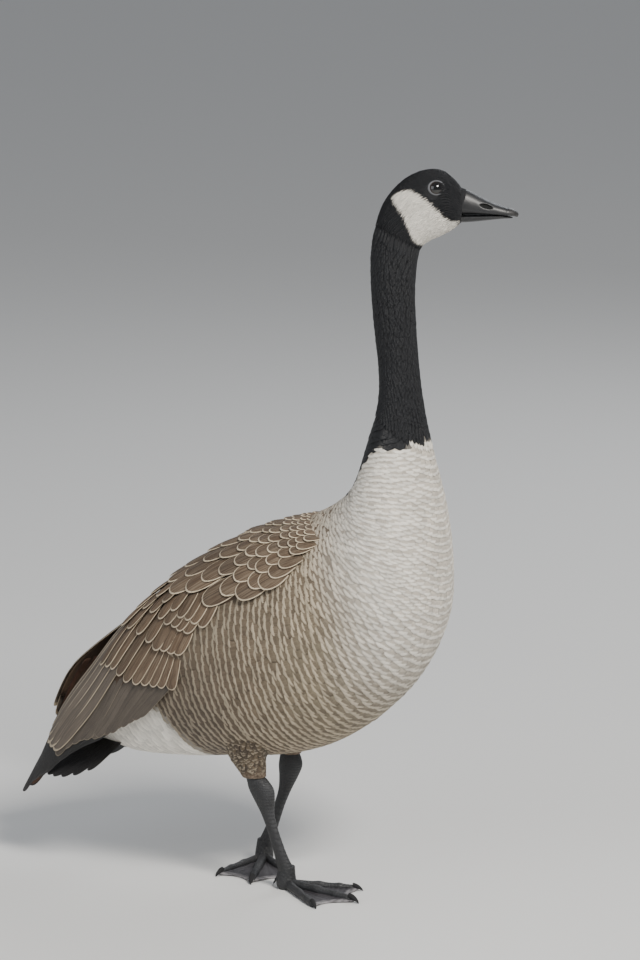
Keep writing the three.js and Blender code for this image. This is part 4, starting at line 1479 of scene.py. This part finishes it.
@dataclass
class Leg:
    """One leg: feathered thigh, scaly shank, three front toes with webs and a hind toe, with claws."""

    side: Side
    marks: Markings
    shift: np.ndarray
    feather: bpy.types.Material
    down: bpy.types.Material
    scales: bpy.types.Material
    web: bpy.types.Material
    claw_finish: bpy.types.Material
    seed: int = 21
    claw_tip_height: float = 3.4
    web_thick: float = 1.3

    THIGH: ClassVar[dict[Side, np.ndarray]] = {
        Side.RIGHT: np.array([(-22, -50, 186, 34, 26), (-34, -50, 158, 26, 21), (-38, -49, 140, 18.5, 15.5),
                              (-35, -48, 129, 14.5, 12), (-32, -47, 119.4, 11, 9.5)], float),
        Side.LEFT: np.array([(-12, 50, 188, 34, 26), (-22, 50, 162, 26, 21), (-26, 49, 145, 20, 16),
                             (-28, 48, 133, 14.5, 12), (-29, 47, 122.4, 11, 9.5)], float)}
    SHANK: ClassVar[dict[Side, np.ndarray]] = {
        Side.RIGHT: np.array([(-31.5, -47, 119, 9.5, 8.4), (-28, -46.5, 113.5, 11.5, 8.6),
                              (-24.6, -45.5, 105, 13.2, 8.4), (-22, -43.5, 93, 10.6, 7.2),
                              (-19.6, -41, 79, 7, 5.2), (-15.5, -38, 62, 5.8, 4.6),
                              (-9.5, -33.5, 38, 6.6, 5), (-5.2, -30.6, 23, 8.2, 6.6)], float),
        Side.LEFT: np.array([(-28.9, 47, 122, 9.5, 8.4), (-28, 47, 116.5, 11.5, 8.6),
                             (-28, 47, 108, 12.6, 8.4), (-30.5, 48, 96, 10, 7.2),
                             (-35, 49.6, 82, 7, 5.2), (-42, 52, 64, 5.8, 4.6),
                             (-52, 56, 39, 6.6, 5), (-58.6, 58.4, 23, 8.2, 6.6)], float)}
    ANKLE: ClassVar[np.ndarray] = np.array([
        (0, 0, 24.0, 8.4, 6.8), (-1, 0, 15, 9.8, 8.4), (-1, 0, 8, 10.6, 9.4), (-1, 0, 3, 10.2, 9.0),
        (-1, 0, 0.02, 8.2, 7.6)], float)
    FOOT: ClassVar[dict[Side, tuple[float, float, float]]] = {
        Side.RIGHT: (-3.4, -29.2, -18.0), Side.LEFT: (-62.0, 60.0, -78.0)}
    TOES: ClassVar[tuple[Toe, ...]] = (Toe(31.0, 78.0, 4.4), Toe(0.0, 92.0, 4.9), Toe(-31.0, 82.0, 4.4))
    HIND: ClassVar[Toe] = Toe(168.0, 22.0, 3.4, 16.0)
    RUST: ClassVar[np.ndarray] = np.array((0.105, 0.066, 0.044))
    UPRIGHT: ClassVar[np.ndarray] = np.array((0.0, 0.0, 1.0))

    @staticmethod
    def level_ring(row: np.ndarray, a: np.ndarray) -> np.ndarray:
        """Level oval rings from rows of x, y, z, half length and half width."""
        x, y, z, half, wide = np.moveaxis(row, -1, 0)
        return np.stack([x + half * np.cos(2 * np.pi * a), y + wide * np.sin(2 * np.pi * a), z], -1)

    def line(self, toe: Toe) -> tuple[np.ndarray, np.ndarray, np.ndarray]:
        """A toe's root on the floor, its level direction ahead and the one to its side."""
        x, y, heading = self.FOOT[self.side]
        angle = math.radians(heading - self.side.value * toe.turn)
        ahead = np.array((math.cos(angle), math.sin(angle), 0.0))
        return np.array((x, y, 0.0)), ahead, np.array((-ahead[1], ahead[0], 0.0))

    def down_row(self, surface: Surface, row: int, place: float, rng: np.random.Generator) -> Tract:
        """One ring of downy feathers round the thigh.

        Args:
            surface: the thigh.
            row: number of the ring, alternate ones set off by half a feather.
            place: share of the way down.
            rng: seeded random numbers.

        Returns:
            The tract.
        """
        rows = self.THIGH[self.side]
        at = np.linspace(0, 1, len(rows))
        count = int(np.pi * (np.interp(place, at, rows[:, 3]) + np.interp(place, at, rows[:, 4])) / 4.6)
        share = (np.arange(count) + 0.5 * (row % 2) + rng.normal(0, 0.12, count)) / count
        root = np.stack([np.full(count, place), np.mod(share, 1)], -1)
        stretch = np.linalg.norm(surface.tangents(root)[0], axis=-1)
        tip = root.copy()
        tip[:, 0] = np.minimum(root[:, 0] + 12 * rng.uniform(0.8, 1.15, count) / stretch, 1.015)
        tip[:, 1] += rng.normal(0, 0.012, count)
        tone = mix(self.marks.FLANK, self.marks.DARK, rng.uniform(0, 1, (count, 1)))
        low = 0.6 * smooth(0.84, 0.99, tip[:, 0])[:, None]
        rim = mix(self.marks.CREAM * 0.55, self.RUST * 1.3, low)
        lift = np.tile((-1.2, 1.5), (count, 1))
        return Tract(root, tip, np.full(count, 3.0), lift, mix(tone, self.RUST, low), rim,
                     rng.uniform(0.12, 0.38, count), np.zeros(count), style=1.0, along=6, across=3,
                     round_from=0.3)

    def thigh(self, patch: PairMap) -> None:
        """Downy feathers on a closed core, mottled brown, a little rusty at the lower rim.

        Args:
            patch: place of a feather on the bake map.
        """
        rows = self.THIGH[self.side]
        surface = Surface(lambda t, a: self.level_ring(spline(rows, t), a), (0.0, 0.0), (1.02, 1.0),
                          (120, 121))
        grid = np.stack(np.meshgrid(np.linspace(0.0, 1.0, 50), np.arange(48) / 48, indexing="ij"), -1)
        points = surface.point(grid) - 1.4 * surface.normal(grid)
        tone = np.tile(self.marks.DARK * 1.2, (*grid.shape[:2], 1))
        core = closed_loft("thigh_core_" + self.side.word, points, self.shift, self.down, tone)
        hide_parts("thigh_" + self.side.word)
        rng = np.random.default_rng(self.seed)
        plumage = Plumage()
        for row, place in enumerate(np.arange(0.15, 0.99, 0.043)):
            plumage.add(surface, self.down_row(surface, row, place, rng), patch, rng)
        plumage.build("coat_thigh_" + self.side.word, self.shift, self.feather)

    def shank(self) -> None:
        """The bare leg with rows of scales as shallow rings, fading out at its back."""
        t, a = np.meshgrid(np.linspace(0, 1.04, 220), np.arange(64) / 64, indexing="ij")
        points = self.level_ring(spline(self.SHANK[self.side], t), a)
        centre = points.mean(1, keepdims=True)
        front = smooth(-0.2, 0.9, np.cos(2 * np.pi * a))
        scute = 1 - np.abs(np.sin(np.pi * (t * 27 + 0.25 * np.sin(4 * np.pi * a)))) ** 6
        knobs = np.sin(2 * np.pi * (t * 34 + 0.5 * np.floor(a * 14))) * np.sin(np.pi * 28 * a)
        raised = 0.22 * front * scute + 0.10 * (1 - front) * knobs - 0.15
        points = points + unit(points - centre) * raised[..., None]
        # painted highlight: the scale crests on the shank's front are painted paler
        dark, pale = np.array((0.016, 0.0165, 0.018)), np.array((0.040, 0.041, 0.044))
        tone = mix(dark, pale, (front * scute * 0.7)[..., None])
        obj = closed_loft("shank_scales_" + self.side.word, points, self.shift, self.scales, tone)
        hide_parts("shank_" + self.side.word)

    def toe(self, name: str, toe: Toe) -> None:
        """A toe with swollen pads under its joints and rows of scales, and its claw.

        Args:
            name: piece name.
            toe: the toe.
        """
        root, ahead, beside = self.line(toe)
        t, a = np.meshgrid(np.linspace(0, 1, 120), np.arange(40) / 40, indexing="ij")
        far = toe.start + (toe.stop - toe.start) * t
        share = far / toe.long
        joint = np.exp(-((share - 0.42) / 0.06) ** 2) + np.exp(-((share - 0.68) / 0.05) ** 2)
        ends = np.sqrt(np.maximum(1 - np.clip((t - 0.93) / 0.07, 0, 1) ** 2, 0.02))
        wide = toe.half * (1.02 - 0.30 * t + 0.10 * joint) * ends
        high = toe.half * (1.22 - 0.52 * t + 0.10 * joint) * ends
        scute = 1 - np.abs(np.sin(np.pi * far / 3.1)) ** 6
        upper = np.maximum(np.sin(2 * np.pi * a), 0)
        lift = high * (1.05 * np.sin(2 * np.pi * a) + 0.92) + 0.22 * scute * upper - 0.1
        if toe.top:
            lift = toe.top + (self.claw_tip_height - toe.top) * share + 0.9 * lift - 0.9 * high
        out = wide * np.cos(2 * np.pi * a)
        points = root + ahead * far[..., None] - beside * out[..., None]
        points = points + self.UPRIGHT * np.maximum(lift, 0.0)[..., None]
        # painted highlight: the scale crests on the toe's upper side are painted paler
        dark, pale = np.array((0.015, 0.0155, 0.017)), np.array((0.045, 0.046, 0.049))
        tone = mix(dark, pale, (scute * upper * 0.8)[..., None])
        obj = closed_loft(name, points[:, ::-1], self.shift, self.scales, tone[:, ::-1])
        self.claw(name, toe)

    def claw(self, name: str, toe: Toe) -> None:
        """A claw: a round horn that thins by a power of its length and bends down to the floor.

        Args:
            name: the toe's piece name.
            toe: the toe.
        """
        root, ahead, beside = self.line(toe)
        t, a = np.meshgrid(np.linspace(0, 1, 40), np.arange(24) / 24, indexing="ij")
        start, tip = toe.stop - 3.5, 0.99 * toe.long
        far = start + (tip - start) * t
        size = 0.56 * toe.half * np.sqrt(np.maximum(1 - t ** 2.2, 0.006))
        level = (0.95 * toe.half * (1 - t ** 1.6)) * 0.8 + size + 0.05
        if toe.top:
            level = level + (toe.top + (self.claw_tip_height - toe.top) * far / toe.long) * (1 - t) * 0.6
        high = np.maximum(level + size * np.sin(2 * np.pi * a), 0.0)
        out = size * np.cos(2 * np.pi * a)
        points = root + ahead * far[..., None] - beside * out[..., None] + self.UPRIGHT * high[..., None]
        claw = closed_loft(name + "_claw", points[:, ::-1], self.shift, self.claw_finish)

    def webs(self) -> None:
        """Thin skin between neighbouring toes, hollowed at its front edge, which carries a painted highlight,
        and sagging to the floor.
        """
        x, y, heading = self.FOOT[self.side]
        for number, (one, two) in enumerate(zip(self.TOES[:-1], self.TOES[1:])):
            u, t = np.meshgrid(np.linspace(0, 1, 48), np.linspace(0, 1, 60), indexing="ij")
            angle = np.radians(heading - self.side.value * mix(one.turn, two.turn, u))
            reach = mix(one.long, two.long, u) * (0.93 - 0.14 * np.sin(np.pi * u) ** 0.9)
            far = 2 + (reach - 2) * t
            near = (2 * np.abs(u - 0.5)) ** 2
            folds = 0.22 * np.sin(26 * u) * t * (1 - near)
            top = 2.6 + 2.2 * near * (1 - 0.45 * t) + 2.4 * (1 - t) ** 2 + folds
            top = top * (1 - 0.35 * smooth(0.94, 1.0, t))
            high = np.stack([x + far * np.cos(angle), y + far * np.sin(angle), top], -1)
            low = high * (1, 1, 0) + self.UPRIGHT * np.maximum(top - self.web_thick, 0.02)[..., None]
            points = np.concatenate([high.reshape(-1, 3), low.reshape(-1, 3)])
            cell = sheet_faces(*u.shape)
            if self.side is Side.LEFT:
                cell = cell[:, ::-1]
            obj = make_mesh(f"web_{self.side.word}_{number}", points, cell, self.shift, self.web)
            # painted highlight: the web's front edge is painted pale where light catches it
            dark, pale = np.array((0.058, 0.055, 0.062)), np.array((0.25, 0.24, 0.25))
            ribs = 0.75 + 0.25 * np.sin(np.pi * (far / 2.6))
            tone = mix(dark, pale, smooth(0.90, 1.0, t)[..., None]) * ribs[..., None]
            add_colour(obj.data, "tone", np.tile(tone.reshape(-1, 3), (2, 1)))
            flat = np.tile(np.stack([u, t], -1).reshape(-1, 2), (2, 1))
            add_map(obj.data, "OFBake", 0.02 + 0.95 * flat[cell.reshape(-1)])

    def ankle(self) -> None:
        """The pad where the toes meet, knobbly all round."""
        x, y, turn = self.FOOT[self.side]
        t, a = np.meshgrid(np.linspace(0, 1, 50), np.arange(56) / 56, indexing="ij")
        ring = self.level_ring(spline(self.ANKLE, t), a)
        knobs = 0.16 * np.sin(14 * np.pi * t) * np.sin(22 * np.pi * a)
        ring = ring + unit(ring - ring.mean(1, keepdims=True)) * knobs[..., None]
        c, s = math.cos(math.radians(turn)), math.sin(math.radians(turn))
        points = np.stack([x + c * ring[..., 0] - s * ring[..., 1], y + s * ring[..., 0] + c * ring[..., 1],
                           np.maximum(ring[..., 2], 0.0)], -1)
        tone = np.tile(np.array((0.017, 0.0175, 0.019)), (*t.shape, 1))
        obj = closed_loft("ankle_" + self.side.word, points, self.shift, self.scales, tone)
        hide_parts("foot_" + self.side.word)

    def build(self, patch: PairMap) -> None:
        """The whole leg.

        Args:
            patch: place of a thigh feather on the bake map.
        """
        self.thigh(patch)
        self.shank()
        for number, toe in enumerate(self.TOES):
            self.toe(f"toe_{self.side.word}_{number}", toe)
        self.toe(f"toe_{self.side.word}_hind", self.HIND)
        self.webs()
        self.ankle()


@dataclass(frozen=True)
class Lamp:
    """A square lamp: name, place and size in metres, power in watts and colour."""

    name: str
    place: tuple[float, float, float]
    size: float
    power: float
    colour: tuple[float, float, float]


@dataclass(frozen=True)
class Studio:
    """Camera, lights and floor. Angles are in degrees and the camera's lengths in millimetres."""

    shift: np.ndarray
    azimuth: float = 20.0
    pitch: float = 10.29
    distance: float = 4200.0
    height: float = 1177.0
    sideways: float = 20.0
    lens: float = 160.31
    sensor: float = 36.0
    sky: float = 0.34
    floor_half: float = 40.0

    COOL: ClassVar[tuple[float, float, float]] = (0.93, 0.96, 1.0)
    LAMPS: ClassVar[tuple[Lamp, ...]] = (
        Lamp("key", (2.3, -1.9, 3.0), 1.0, 190.0, (1.0, 0.965, 0.91)),
        Lamp("fill", (-1.6, -3.0, 1.6), 2.4, 34.0, COOL),
        Lamp("rim", (0.4, 2.8, 2.4), 1.6, 30.0, COOL))
    AIM: ClassVar[np.ndarray] = np.array((0.0, 0.0, 0.35))

    def camera(self) -> None:
        """The camera at the viewing angle and distance of the likeness."""
        a = math.radians(self.azimuth)
        data = bpy.data.cameras.new("camera")
        data.lens, data.sensor_width, data.sensor_fit = self.lens, self.sensor, "AUTO"
        data.clip_start, data.clip_end = 0.1, 60.0
        obj = bpy.data.objects.new("camera", data)
        x = self.sideways * math.cos(a) + self.distance * math.sin(a) + self.shift[0]
        y = self.sideways * math.sin(a) - self.distance * math.cos(a) + self.shift[1]
        obj.location = (x * MM, y * MM, self.height * MM)
        obj.rotation_euler = (math.radians(90 - self.pitch), 0.0, a)
        bpy.context.scene.collection.objects.link(obj)
        bpy.context.scene.camera = obj

    def lights(self) -> None:
        """A warm key from ahead on the right, cool fill and rim lamps, all on the body, and a pale sky."""
        world = bpy.data.worlds.new("world")
        bpy.context.scene.world = world
        world.use_nodes = True
        sky = world.node_tree.nodes["Background"]
        sky.inputs[0].default_value = (0.92, 0.95, 1.0, 1)
        sky.inputs[1].default_value = self.sky
        for lamp in self.LAMPS:
            data = bpy.data.lights.new(lamp.name, "AREA")
            data.energy, data.size, data.color = lamp.power, lamp.size, lamp.colour
            obj = bpy.data.objects.new(lamp.name, data)
            obj.location = lamp.place
            direction = self.AIM - np.array(lamp.place)
            yaw = math.atan2(direction[1], direction[0]) - math.pi / 2
            tilt = math.atan2(math.hypot(direction[0], direction[1]), -direction[2])
            obj.rotation_euler = (tilt, 0.0, yaw)
            bpy.context.scene.collection.objects.link(obj)

    def floor(self) -> None:
        """A plain pale floor that isn't part of the bird."""
        g = Graph("floor")
        g.set("Base Color", (0.74, 0.74, 0.73))
        g.set("Roughness", 0.9)
        mesh = bpy.data.meshes.new("floor")
        h = self.floor_half
        mesh.from_pydata([(-h, -h, 0), (h, -h, 0), (h, h, 0), (-h, h, 0)], [], [(0, 1, 2, 3)])
        mesh.materials.append(g.material)
        obj = bpy.data.objects.new("floor", mesh)
        bpy.context.scene.collection.objects.link(obj)


def main() -> None:
    """Builds the bird around the frame."""
    logging.basicConfig(level=logging.INFO, format="%(name)s %(message)s")
    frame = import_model()
    log.info("frame of %d solids", len(frame["nodes"]))
    low, high = (np.array(corner, float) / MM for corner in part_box("eye_right"))
    shift = (low + high) / 2 - turned(np.array((EYE_X, -EYE_Y, EYE_Z)))
    shift[2] = 0.0
    studio = Studio(shift)
    studio.camera()
    studio.lights()
    studio.floor()

    marks = Markings()
    feather = FeatherFinish("feather").make()
    skin_finish = SkinFinish("skin_plumage").make()
    surface = Surface(body_point, (0.0, 0.0), (1.0, 1.0), (700, 361))
    coat = BodyCoat(surface, marks, shift, feather, skin_finish)
    skin = coat.skin()
    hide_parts("torso", "neck", "head")
    for piece in coat.feathers():
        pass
    for side in Side:
        wing = Wing(side, marks, shift, feather)
        piece = wing.build()
        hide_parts("wing_" + side.word)
        wing.core(skin_finish)
    tail = Tail(shift, feather).build()
    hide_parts("tail")

    horn = HornFinish("bill_horn", 0.42, 320.0, coat=0.10, depth=0.00025).make()
    Bill(shift, horn).build()
    lid = HornFinish("lid_skin", 0.5, 500.0, tint=(0.085, 0.088, 0.095)).make()
    scales = HornFinish("leg_scales", 0.48, 430.0, cells=True, depth=0.0005).make()
    web = HornFinish("web_skin", 0.5, 700.0, cells=True, depth=0.0003).make()
    claw = HornFinish("claw_horn", 0.85, 300.0, tint=(0.010, 0.010, 0.011)).make()
    for side in Side:
        Eye(side, shift, lid).build()
        Leg(side, marks, shift, feather, skin_finish, scales, web, claw).build(coat.patch)


if __name__ == "__main__":
    main()
